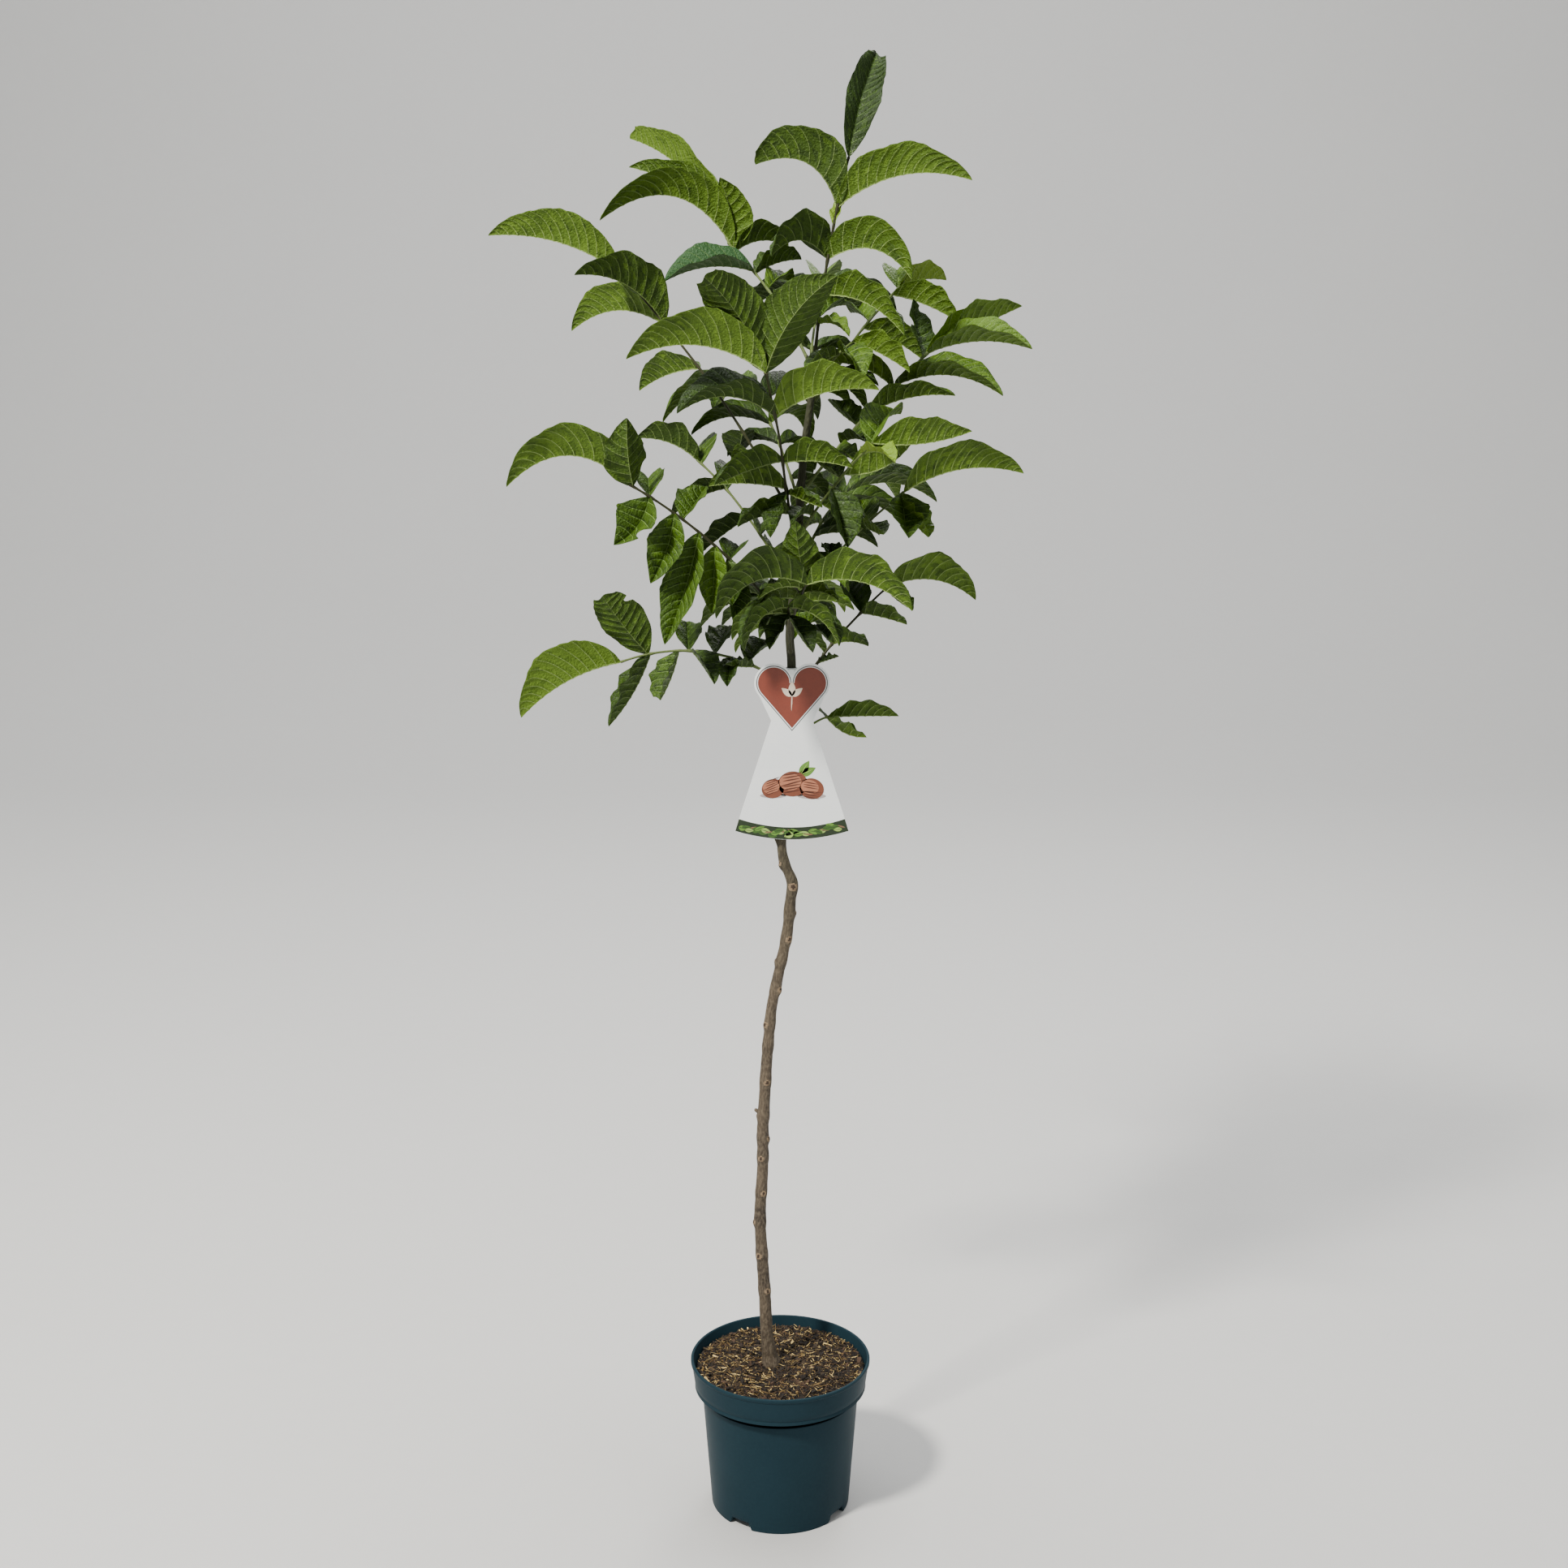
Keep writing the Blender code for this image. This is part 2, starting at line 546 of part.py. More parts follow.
def tag_outline():
    """Right half of the card's edge, from the notch between the lobes to the bottom middle."""
    lobe_height = TAG_TOP - TAG_LOBE_RADIUS
    notch_angle = math.acos(-TAG_LOBE_OFFSET / TAG_LOBE_RADIUS)
    side_angle = math.radians(-42.0)
    steps = 12
    half = []
    for step in range(steps + 1):
        angle = notch_angle + (side_angle - notch_angle) * step / steps
        half.append((TAG_LOBE_OFFSET + TAG_LOBE_RADIUS * math.cos(angle),
                     lobe_height + TAG_LOBE_RADIUS * math.sin(angle)))
    half.append((TAG_WAIST_HALF, TAG_WAIST_HEIGHT))
    half.append((TAG_CORNER_HALF, TAG_CORNER_HEIGHT))
    for step in range(1, 6):
        share = step / 5.0
        sag = (TAG_CORNER_HEIGHT - TAG_BOTTOM) * (1.0 - (1.0 - share) ** 2)
        half.append((TAG_CORNER_HALF * (1.0 - share), TAG_CORNER_HEIGHT - sag))
    return half


def tag_shells():
    half = tag_outline()
    outline = half + [(-across, height) for across, height in reversed(half[1:-1])]
    count = len(outline)
    points = []
    for depth in (TAG_FRONT, TAG_FRONT + TAG_THICKNESS):
        points += [Vector((TAG_CENTRE + across, depth, height)) for across, height in outline]
    faces = [tuple(range(count)), tuple(range(2 * count - 1, count - 1, -1))]
    for index in range(count):
        after = (index + 1) % count
        faces.append((index, index + count, after + count, after))
    card = (points, faces)

    centre, radius = trunk_at(STRAP_HEIGHT)
    inner = radius + STRAP_CLEAR
    outer = inner + STRAP_THICK
    half_tall = STRAP_TALL / 2.0
    loop = ((inner, -half_tall), (outer, -half_tall), (outer, half_tall), (inner, half_tall))
    sides = 20
    ring_points = []
    ring_faces = []
    for side in range(sides):
        angle = math.tau * side / sides
        ray = Vector((math.cos(angle), math.sin(angle), 0.0))
        for reach, height in loop:
            ring_points.append(centre + ray * reach + Vector((0.0, 0.0, height)))
        after = (side + 1) % sides
        for corner in range(4):
            next_corner = (corner + 1) % 4
            ring_faces.append((side * 4 + corner, after * 4 + corner,
                               after * 4 + next_corner, side * 4 + next_corner))
    ring = (ring_points, ring_faces)

    top = STRAP_HEIGHT + half_tall - 0.0004
    back = -inner - STRAP_THICK * 0.4
    front = TAG_FRONT + TAG_THICKNESS * 0.4
    half_wide = TONGUE_WIDTH / 2.0
    corners = []
    for height in (TONGUE_FOOT, top):
        for depth in (front, back):
            for across in (-half_wide, half_wide):
                corners.append(Vector((centre.x + across, depth, height)))
    tongue_faces = [(0, 1, 3, 2), (4, 6, 7, 5), (0, 4, 5, 1), (2, 3, 7, 6), (0, 2, 6, 4), (1, 5, 7, 3)]
    tongue = (corners, tongue_faces)
    return [card, ring, tongue]


def back_leaflets(leaf):
    """Leaflets of a back leaf: one at the tip, and pairs that shorten towards the trunk."""
    chance = random.Random(leaf.seed)
    leaflets = [Leaflet(1.0, leaf.bearing, leaf.length, -2.5, 4.0, leaf.length * 0.46, 0)]
    for pair in range(leaf.pairs):
        share = pair / (leaf.pairs - 1.0)
        place = PAIR_LAST_PLACE + (PAIR_FIRST_PLACE - PAIR_LAST_PLACE) * share
        size = leaf.length * (1.0 + (PAIR_SHORTEST - 1.0) * share)
        for side in (-1, 1):
            bearing = leaf.bearing + side * (PAIR_SPREAD + chance.uniform(-6, 6))
            drop = chance.uniform(-4.0, -1.0)
            arch = size * chance.uniform(0.32, 0.42)
            leaflets.append(Leaflet(place, bearing, size * 0.9, drop, arch, size * 0.46, -12 * side))
    return tuple(leaflets)


def stalk_frame(leaf):
    """Start, run and bow of a leaf's stalk, in metres."""
    centre, radius = trunk_at(leaf.height * CM)
    out = heading(leaf.bearing)
    up = Vector((0.0, 0.0, 1.0))
    run = (out * leaf.out + up * leaf.rise) * CM
    bow = (up * leaf.out - out * leaf.rise).normalized() * leaf.bow * CM
    if leaf.height * CM > TRUNK[-1].height:
        tip, _ = trunk_at(TRUNK[-1].height)
        return tip + up * GAP, run, bow
    start = centre + out * radius
    foot = stalk_tube(start, run, bow)[0][:STALK_SIDES]
    clearance = STALK_FOOT_RADIUS
    for here, after in zip(foot, foot[1:] + foot[:1]):
        for step in range(RIM_STEPS):
            clearance = min(clearance, trunk_clearance(here.lerp(after, step / RIM_STEPS)))
    return start + out * (GAP - clearance), run, bow


def trunk_clearance(point):
    """How far a point stands outside the trunk's round, or less than zero inside it."""
    centre, radius = trunk_at(point.z)
    return (point - centre).length - radius


def stalk_point(leaf, place):
    start, run, bow = stalk_frame(leaf)
    return start + run * place + bow * (4.0 * place * (1.0 - place))


def stalk_tube(start, run, bow):
    path = []
    radii = []
    for step in range(STALK_STEPS + 1):
        place = step / STALK_STEPS
        path.append(start + run * place + bow * (4.0 * place * (1.0 - place)))
        radii.append(STALK_RADIUS + (STALK_TIP_RADIUS - STALK_RADIUS) * place)
    radii[0] = STALK_FOOT_RADIUS
    return tube(path, radii, STALK_SIDES)


def stalk_shell(leaf):
    start, run, bow = stalk_frame(leaf)
    return stalk_tube(start, run, bow)


def midrib_point(leaf, leaflet, share):
    """A point on a leaflet's midrib, from its root in the stalk to its tip."""
    root = stalk_point(leaf, leaflet.place)
    out = heading(leaflet.bearing)
    up = Vector((0.0, 0.0, 1.0))
    run = (out * leaflet.out + up * leaflet.rise) * CM
    edge_rise = leaflet.width / 2.0 * math.sin(math.radians(min(leaflet.fold + abs(leaflet.turn), 90)))
    lift = (up * leaflet.out - out * leaflet.rise).normalized() * (leaflet.arch - edge_rise) * CM
    return root + run * share + lift * (4.0 * share * (1.0 - share))


def blade_half_width(leaflet, share):
    """Half the width of the blade at a share of its length: widest just under the middle."""
    swell = math.sin(math.pi * share ** 0.86) ** 0.8 if 0.0 < share < 1.0 else 0.0
    end = BLADE_ROOT + (BLADE_TIP - BLADE_ROOT) * share
    return max(end, leaflet.width * CM / 2.0 * swell)


def blade_shell(leaf, leaflet, swell=0.0):
    """A leaflet as a thin keel, thickest at its midrib: two half blades that rise from it."""
    points = []
    fold = math.radians(leaflet.fold)
    steps = SMALL_BLADE_STEPS if math.hypot(leaflet.out, leaflet.rise) < SMALL_BLADE else BLADE_STEPS
    sink = ROOT_SINK / math.hypot(leaflet.out, leaflet.rise)
    for step in range(steps + 1):
        share = step * (1.0 + sink) / steps - sink
        centre = midrib_point(leaf, leaflet, share)
        along = midrib_point(leaf, leaflet, share + 0.01) - midrib_point(leaf, leaflet, share - 0.01)
        along.normalize()
        side = heading(leaflet.bearing + 90.0)
        side = Matrix.Rotation(math.radians(leaflet.turn), 3, along) @ side
        normal = along.cross(side).normalized()
        reach = blade_half_width(leaflet, share) + swell
        rise = normal * reach * math.sin(fold)
        middle = normal * (BLADE_THICK / 2.0 + swell)
        points += [centre + side * reach * math.cos(fold) + rise, centre + middle,
                   centre - side * reach * math.cos(fold) + rise, centre - middle]
    faces = []
    for first in range(0, steps * 4, 4):
        for corner in range(4):
            after = (corner + 1) % 4
            faces.append((first + corner, first + after, first + 4 + after, first + 4 + corner))
    faces.append((0, 1, 2, 3))
    last = steps * 4
    faces.append((last, last + 1, last + 2, last + 3))
    return points, faces


def tree_of(shell):
    points, faces = shell
    return BVHTree.FromPolygons(points, faces)


def clear_leaflet(leaf, leaflet, others):
    """The leaflet, swung or lifted a little where it would touch another node, or None."""
    for lift in (0.0, 1.2, -1.2, 2.4, -2.4):
        for swing in (0.0, 7.0, -7.0, 14.0, -14.0, 22.0, -22.0):
            tried = leaflet._replace(bearing=leaflet.bearing + swing, rise=leaflet.rise + lift)
            swollen = tree_of(blade_shell(leaf, tried, CLEAR_SWELL))
            if not any(swollen.overlap(other) for other in others):
                return tried
    return None


def main():
    for old in list(bpy.data.objects):
        bpy.data.objects.remove(old)

    plastic = material("pot_plastic", (0.022, 0.048, 0.062), 0.35)
    earth = material("soil_bark", (0.055, 0.032, 0.018), 0.95)
    bark = material("trunk_bark", (0.16, 0.12, 0.085), 0.85)
    card = material("tag_card", (0.75, 0.74, 0.70), 0.45)
    green = material("leaf_green", (0.075, 0.16, 0.035), 0.55)

    pot = solid("pot", pot_shell(), plastic, 30.0)
    cut_notches(pot)
    solid("soil", soil_shell(), earth, 30.0)
    trunk = trunk_shells()
    fused("trunk", trunk, bark, 50.0)
    tag = tag_shells()
    fused("tag", tag, card)

    leaves = list(LEAVES)
    for back in BACK_LEAVES:
        leaves.append(Leaf(back.name, back.height, back.bearing, back.out, back.rise, 1.4,
                           back_leaflets(back)))

    fixed = [tree_of(shell) for shell in trunk + tag]
    stalks = {leaf.name: tree_of(stalk_shell(leaf)) for leaf in leaves}
    blades = {leaf.name: [] for leaf in leaves}
    for leaf in leaves:
        shells = [stalk_shell(leaf)]
        for leaflet in leaf.leaflets:
            others = fixed + [stalks[name] for name in stalks if name != leaf.name]
            for name in blades:
                if name != leaf.name:
                    others += blades[name]
            placed = clear_leaflet(leaf, leaflet, others)
            if placed is None:
                continue
            shell = blade_shell(leaf, placed)
            blades[leaf.name].append(tree_of(shell))
            shells.append(shell)
        fused(leaf.name, shells, green, 40.0)


main()
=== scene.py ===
import math
import random
from collections import namedtuple

import bpy
import numpy as np
from mathutils import Matrix, Vector, noise
from mathutils.bvhtree import BVHTree


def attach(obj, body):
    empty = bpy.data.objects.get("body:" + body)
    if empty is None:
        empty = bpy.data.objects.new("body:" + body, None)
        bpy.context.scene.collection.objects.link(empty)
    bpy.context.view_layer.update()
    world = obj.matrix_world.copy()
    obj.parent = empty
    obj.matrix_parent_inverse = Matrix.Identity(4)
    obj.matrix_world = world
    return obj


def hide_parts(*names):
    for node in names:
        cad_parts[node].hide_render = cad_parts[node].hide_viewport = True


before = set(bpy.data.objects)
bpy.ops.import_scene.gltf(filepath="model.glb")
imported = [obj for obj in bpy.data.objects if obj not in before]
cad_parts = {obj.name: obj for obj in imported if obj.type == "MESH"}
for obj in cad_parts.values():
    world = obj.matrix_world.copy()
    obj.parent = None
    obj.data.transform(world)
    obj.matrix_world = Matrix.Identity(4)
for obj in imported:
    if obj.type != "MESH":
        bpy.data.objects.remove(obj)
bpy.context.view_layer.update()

# The nursery pot is injection moulded in dark teal-grey plastic, thin walled, with a stepped band
# and a narrow lip at its rim. Four drain notches are cut into the foot, and it stands loose.
POT_HEIGHT = 0.188
POT_FOOT_RADIUS = 0.084
POT_SHOULDER_RADIUS = 0.0945
POT_BAND_RADIUS = 0.103
POT_RIM_RADIUS = 0.1085
POT_BAND_HEIGHT = 0.035
POT_LIP_HEIGHT = 0.005
POT_LIP_PROUD = 0.0012
POT_SKIRT_HOLLOW = 0.004
POT_WALL = 0.0024
POT_FLOOR = 0.0115
POT_RING_INNER = 0.078
POT_RECESS = 0.0055
POT_SIDES = 240
POT_INSIDE_ROWS = 4
GROOVE_TOP = 0.0015
GROOVE_FOOT = 0.0088
GROOVE_DEEP = 0.0032
NOTCH_BEARINGS = (-125.0, -35.0, 55.0, 145.0)
NOTCH_WIDTH = 0.028
NOTCH_HEIGHT = 0.0095
NOTCH_SHOULDER = 0.0035
NOTCH_OUTER = 0.0845
# Tones of a mottled finish: its own colour, its dark patches and its light grain
POT_TEALS = ((0.0118, 0.0300, 0.0410), (0.0088, 0.0220, 0.0300), (0.018, 0.041, 0.053))
# The groove under the band: a near-black, rough finish that is painted shade where the band shades the wall
GROOVE_PAINTED_SHADES = ((0.0016, 0.0032, 0.0040), (0.0008, 0.0016, 0.0020), (0.0030, 0.0055, 0.0065))
MOTTLE_RANGE = (0.38, 0.66)
# The points and faces of a piece, and the number of each face's finish
Body = namedtuple("Body", "points faces picks")


def feed(tree, node, feeds):
    """Links or sets a node's inputs, by label or number."""
    for label, value in feeds.items():
        if isinstance(value, bpy.types.NodeSocket):
            tree.links.new(value, node.inputs[label])
        else:
            node.inputs[label].default_value = value


def fed_node(tree, kind, feeds):
    """A new shader node, with its inputs linked or set."""
    node = tree.nodes.new("ShaderNode" + kind)
    feed(tree, node, feeds)
    return node


def plain_finish(name, colour, roughness, shine=0.5):
    """A material with one Principled shader, and that shader."""
    finish = bpy.data.materials.new(name)
    finish.use_nodes = True
    shader = finish.node_tree.nodes["Principled BSDF"]
    feed(finish.node_tree, shader, {
        "Base Color": (*colour, 1.0), "Roughness": roughness, "Specular IOR Level": shine})
    finish.diffuse_color = (*colour, 1.0)
    return finish, shader


def effect(name, takes, gives):
    """An empty node group with its sockets; returns the group and its two end nodes."""
    group = bpy.data.node_groups.new(name, "ShaderNodeTree")
    for label, kind, value in takes:
        socket = group.interface.new_socket(label, in_out="INPUT", socket_type=kind)
        socket.default_value = value
    for label, kind in gives:
        group.interface.new_socket(label, in_out="OUTPUT", socket_type=kind)
    return group, group.nodes.new("NodeGroupInput"), group.nodes.new("NodeGroupOutput")


def mixed(tree, share, first, second):
    """A colour between two others."""
    mix = fed_node(tree, "Mix", {0: share, 6: first, 7: second})
    mix.data_type = "RGBA"
    return mix.outputs[2]


def ranged(tree, value, low, high, out_low=0.0, out_high=1.0):
    """A number moved from one range to another and held inside it."""
    return fed_node(tree, "MapRange", {0: value, 1: low, 2: high, 3: out_low, 4: out_high}).outputs[0]


def build_mottle():
    """Two sizes of soft patches: one darkens the colour, the finer one lightens it and gives relief."""
    group, takes, gives = effect("mottle", (
        ("Colour", "NodeSocketColor", (0.5, 0.5, 0.5, 1.0)),
        ("Dark", "NodeSocketColor", (0.2, 0.2, 0.2, 1.0)),
        ("Light", "NodeSocketColor", (0.8, 0.8, 0.8, 1.0)),
        ("Dark Share", "NodeSocketFloat", 0.5),
        ("Light Share", "NodeSocketFloat", 0.3),
        ("Patch Scale", "NodeSocketFloat", 20.0),
        ("Grain Scale", "NodeSocketFloat", 200.0),
        ("Stretch", "NodeSocketVector", (1.0, 1.0, 1.0)),
    ), (("Colour", "NodeSocketColor"), ("Patch", "NodeSocketFloat"), ("Grain", "NodeSocketFloat")))
    place = fed_node(group, "TexCoord", {})
    stretch = fed_node(group, "Mapping", {
        "Vector": place.outputs["Object"], "Scale": takes.outputs["Stretch"]})
    colour = takes.outputs["Colour"]
    for mask, detail, tone in (("Patch", 3.0, "Dark"), ("Grain", 2.0, "Light")):
        patches = fed_node(group, "TexNoise", {
            "Vector": stretch.outputs["Vector"], "Scale": takes.outputs[mask + " Scale"], "Detail": detail})
        found = ranged(group, patches.outputs["Fac"], *MOTTLE_RANGE)
        times = fed_node(group, "Math", {0: takes.outputs[tone + " Share"], 1: found})
        times.operation = "MULTIPLY"
        colour = mixed(group, times.outputs[0], colour, takes.outputs[tone])
        feed(group, gives, {mask: found})
    feed(group, gives, {"Colour": colour})
    return group


mottle_effect = build_mottle()


def lay_mottle(finish, shader, shares, scales, relief, gloss=None, stretch=(1.0, 1.0, 1.0)):
    """Lays the mottle over a finish: its grain as relief, its patches as uneven gloss."""
    tree = finish.node_tree
    mottle = tree.nodes.new("ShaderNodeGroup")
    mottle.node_tree = mottle_effect
    feed(tree, mottle, {"Dark Share": shares[0], "Light Share": shares[1],
                        "Patch Scale": scales[0], "Grain Scale": scales[1], "Stretch": stretch})
    if gloss:
        feed(tree, shader, {"Roughness": ranged(tree, mottle.outputs["Patch"], 0.0, 1.0, *gloss)})
    bump = fed_node(tree, "Bump", {"Strength": 1.0, "Distance": relief, "Height": mottle.outputs["Grain"]})
    feed(tree, shader, {"Normal": bump.outputs["Normal"]})
    return mottle


def mottled_finish(name, tones, roughness, shares, scales, relief, swing=0.1, shine=0.5):
    """A finish whose colour, gloss and relief come from the mottle effect."""
    finish, shader = plain_finish(name, tones[0], roughness, shine)
    tree = finish.node_tree
    mottle = lay_mottle(finish, shader, shares, scales, relief, (roughness, roughness + swing))
    feed(tree, mottle, {label: (*tone, 1.0) for label, tone in zip(("Colour", "Dark", "Light"), tones)})
    feed(tree, shader, {"Base Color": mottle.outputs["Colour"]})
    return finish


def made_piece(name, body, finishes, sharp):
    """One mesh piece from a body, with a finish for each face; edges over the sharp angle stay hard."""
    mesh = bpy.data.meshes.new(name)
    mesh.from_pydata(body.points, [], body.faces)
    for finish in finishes:
        mesh.materials.append(finish)
    mesh.polygons.foreach_set("material_index", body.picks)
    mesh.shade_smooth()
    mesh.set_sharp_from_angle(angle=math.radians(sharp))
    mesh.update()
    piece = bpy.data.objects.new(name, mesh)
    bpy.context.scene.collection.objects.link(piece)
    return piece


def ring_faces(rows, sides):
    """Faces between rings of points that follow one another."""
    faces = []
    for low in range(0, rows * sides, sides):
        for side in range(sides):
            after = (side + 1) % sides
            faces.append((low + side, low + after, low + sides + after, low + sides + side))
    return faces


def turn_between(bearing, other):
    """The angle between two bearings, in degrees."""
    return abs((bearing - other + 180.0) % 360.0 - 180.0)


def notch_height(bearing):
    """How high the foot of the pot's wall is cut away at a bearing."""
    height = 0.0
    for middle in NOTCH_BEARINGS:
        across = math.radians(turn_between(bearing, middle)) * POT_FOOT_RADIUS
        share = (NOTCH_WIDTH / 2.0 + NOTCH_SHOULDER / 2.0 - across) / NOTCH_SHOULDER
        height = max(height, NOTCH_HEIGHT * min(max(share, 0.0), 1.0))
    return height


def edge(radius, height, *steps):
    """Points of the pot's section at one of its edges, each a small step out and up from it."""
    return [(radius + out, height + up) for out, up in steps]


def slope(low, high, count):
    """Points that divide a straight stretch of the pot's section."""
    return [tuple(start + (end - start) * (step / count) for start, end in zip(low, high))
            for step in range(1, count)]


def pot_profile():
    """Radius and height round the pot's section, from under its floor out, up and back down inside."""
    band_foot = POT_HEIGHT - POT_BAND_HEIGHT
    groove_foot = band_foot - GROOVE_FOOT
    groove_radius = POT_SHOULDER_RADIUS - GROOVE_DEEP
    skirt_inner = POT_BAND_RADIUS - POT_WALL
    skirt_top = band_foot + POT_SKIRT_HOLLOW
    lip_foot = POT_HEIGHT - POT_LIP_HEIGHT
    lip_radius = POT_RIM_RADIUS - POT_LIP_PROUD
    return [
        *edge(POT_RING_INNER, 0.0, (0.0, POT_RECESS), (0.0, 0.0005), (0.0005, 0.0)),
        *edge(POT_FOOT_RADIUS, 0.0, (-0.0006, 0.0), (0.0, 0.0006)),
        *slope((POT_FOOT_RADIUS, 0.0), (POT_SHOULDER_RADIUS, groove_foot - 0.0012), 12),
        *edge(POT_SHOULDER_RADIUS, groove_foot, (0.0, -0.0006), (-0.0005, 0.0), (-GROOVE_DEEP, 0.0004)),
        (groove_radius, band_foot - GROOVE_TOP),
        (groove_radius, skirt_top),
        (skirt_inner, skirt_top),
        (skirt_inner, band_foot),
        *edge(POT_BAND_RADIUS, band_foot, (-0.0006, -0.0008), (0.0007, -0.0003)),
        *edge(POT_BAND_RADIUS, band_foot, (0.0006, 0.0014), (0.0, 0.004)),
        *slope((POT_BAND_RADIUS, band_foot), (lip_radius, lip_foot), 6),
        (lip_radius, lip_foot),
        *edge(POT_RIM_RADIUS, lip_foot, (-0.0004, 0.0006), (0.0, 0.0014)),
        *edge(POT_RIM_RADIUS, POT_HEIGHT, (0.0, -0.0012), (-0.0005, -0.0003), (-0.0012, 0.0)),
        *edge(lip_radius - POT_WALL, POT_HEIGHT, (0.0010, 0.0), (0.0003, -0.0004), (0.0, -0.0012)),
        (skirt_inner, skirt_top + POT_WALL + 0.001),
        (groove_radius - POT_WALL, skirt_top + POT_WALL),
        (groove_radius - POT_WALL, groove_foot - 0.003),
        (POT_FOOT_RADIUS - POT_WALL, POT_FLOOR),
    ]


def build_pot():
    """The whole pot as one turned skin, its foot lifted at the drain notches."""
    profile = pot_profile()
    points = []
    for radius, height in profile:
        for side in range(POT_SIDES):
            bearing = 360.0 * side / POT_SIDES
            angle = math.radians(bearing)
            lifted = max(height, notch_height(bearing)) if radius < NOTCH_OUTER else height
            points.append((radius * math.cos(angle), radius * math.sin(angle), lifted))
    rows = len(profile) - 1
    faces = [tuple(reversed(range(POT_SIDES))), *ring_faces(rows, POT_SIDES),
             tuple(range(rows * POT_SIDES, len(points)))]
    groove_foot = POT_HEIGHT - POT_BAND_HEIGHT - GROOVE_FOOT
    # Faces in the groove under the band take the finish of painted shade
    groove = [row for row, (radius, height) in enumerate(profile[:-POT_INSIDE_ROWS])
              if radius < POT_SHOULDER_RADIUS - GROOVE_DEEP + 0.0001 and height > groove_foot]
    picks = [int(groove[0] - 1 <= row <= groove[-1]) for row in range(rows) for side in range(POT_SIDES)]
    teal = mottled_finish("pot_plastic", POT_TEALS, 0.42, shares=(0.25, 0.15), scales=(16.0, 260.0),
                          relief=0.00002, swing=0.03, shine=0.045)
    painted_groove_shade = mottled_finish("pot_groove_painted_shade", GROOVE_PAINTED_SHADES, 0.85, shares=(0.3, 0.2), scales=(60.0, 400.0),
                           relief=0.00004, shine=0.02)
    pot = made_piece("nursery_pot", Body(points, faces, [0, *picks, 0]), [teal, painted_groove_shade], sharp=28.0)
    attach(pot, "root")
    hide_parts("pot")


build_pot()

# Potting mix. Damp composted bark with coir and straw fibres, poured in loose to about 10 mm under
# the rim; a solid bed carries thousands of separate bits that lie on it at all angles.
SOIL_EDGE_HEIGHT = 0.1774
SOIL_TOP_HEIGHT = 0.1800
SOIL_EDGE_RADIUS = 0.1012
SOIL_SKIRT = ((0.0995, 0.1640), (0.0915, 0.1580), (0.081, 0.012))
SOIL_RINGS = 46
SOIL_SIDES = 150
# Lumps and grit: how many to a metre, where in the noise, how tall; the bed lies a little under them
SOIL_LUMPS = ((42.0, 3.0, 0.0020), (170.0, 9.0, 0.0009))
SOIL_SINK = 0.0015
SOIL_SEED = 41
SOIL_TONES = ((0.010, 0.0065, 0.004), (0.003, 0.0022, 0.0015), (0.028, 0.018, 0.010))
STEM_ASIDE = -0.011
STEM_CLEAR = 0.013
RIM_CLEAR = 0.0022
BITS = (("bark_black", (0.010, 0.006, 0.004)), ("bark_brown", (0.034, 0.021, 0.009)),
        ("bark_red_brown", (0.070, 0.038, 0.020)), ("coir_tan", (0.19, 0.117, 0.038)),
        ("straw_pale", (0.63, 0.46, 0.185)))
# Lengths are drawn from a bell curve of their logarithm; a mix says how often each kind of bit is drawn
CHIP_COUNT = 6200
CHIP_LENGTH = (-5.5, 0.45)
CHIP_LONGEST = 0.011
CHIP_WIDTH = (0.28, 0.62)
CHIP_THICKNESS = (0.28, 0.55)
CHIP_LIFT = (-0.0002, 0.0014)
CHIP_TILT = 24.0
CHIP_MIX = (58, 26, 10, 4, 2)
CHIP_FACES = [(0, 3, 2, 1), (4, 5, 6, 7), *ring_faces(1, 4)]
FIBRE_COUNT = 2500
FIBRE_LENGTH = (-4.80, 0.40)
FIBRE_LONGEST = 0.021
FIBRE_THICKNESS = (0.00026, 0.00056)
FIBRE_BEND = 0.09
FIBRE_OVERHANG = 0.003
FIBRE_LIFT = (0.0005, 0.0024)
FIBRE_TILT = 11.0
FIBRE_STEPS = 3
FIBRE_SIDES = 3
FIBRE_MIX = (12, 24, 18, 26, 20)


def toned(colour, darker, lighter):
    """The three tones of a mottled finish, from its own colour."""
    return (colour, tuple(channel * darker for channel in colour),
            tuple(min(channel * lighter, 1.0) for channel in colour))


def tube_faces(rows, sides):
    """Faces of a tube of rings, closed at both ends."""
    last = rows * sides
    return [*ring_faces(rows, sides), tuple(reversed(range(sides))), tuple(range(last, last + sides))]


def flipped(faces):
    """The same faces turned over, each from the same corner."""
    return [(first, *reversed(rest)) for first, *rest in faces]


def add_part(body, points, faces, pick=0):
    """Adds a part to a body that many parts make up; its faces take one finish, by number."""
    first = len(body.points)
    body.points.extend(points)
    body.faces.extend(tuple(first + corner for corner in face) for face in faces)
    body.picks.extend([pick] * len(faces))


def soil_height(x, y):
    """The lumpy top of the mix, lower towards the rim."""
    share = min(math.hypot(x, y) / SOIL_EDGE_RADIUS, 1.0)
    height = SOIL_TOP_HEIGHT - (SOIL_TOP_HEIGHT - SOIL_EDGE_HEIGHT) * share ** 2
    for density, place, tall in SOIL_LUMPS:
        height += noise.noise(Vector((x * density, y * density, place))) * tall
    return height - SOIL_SINK


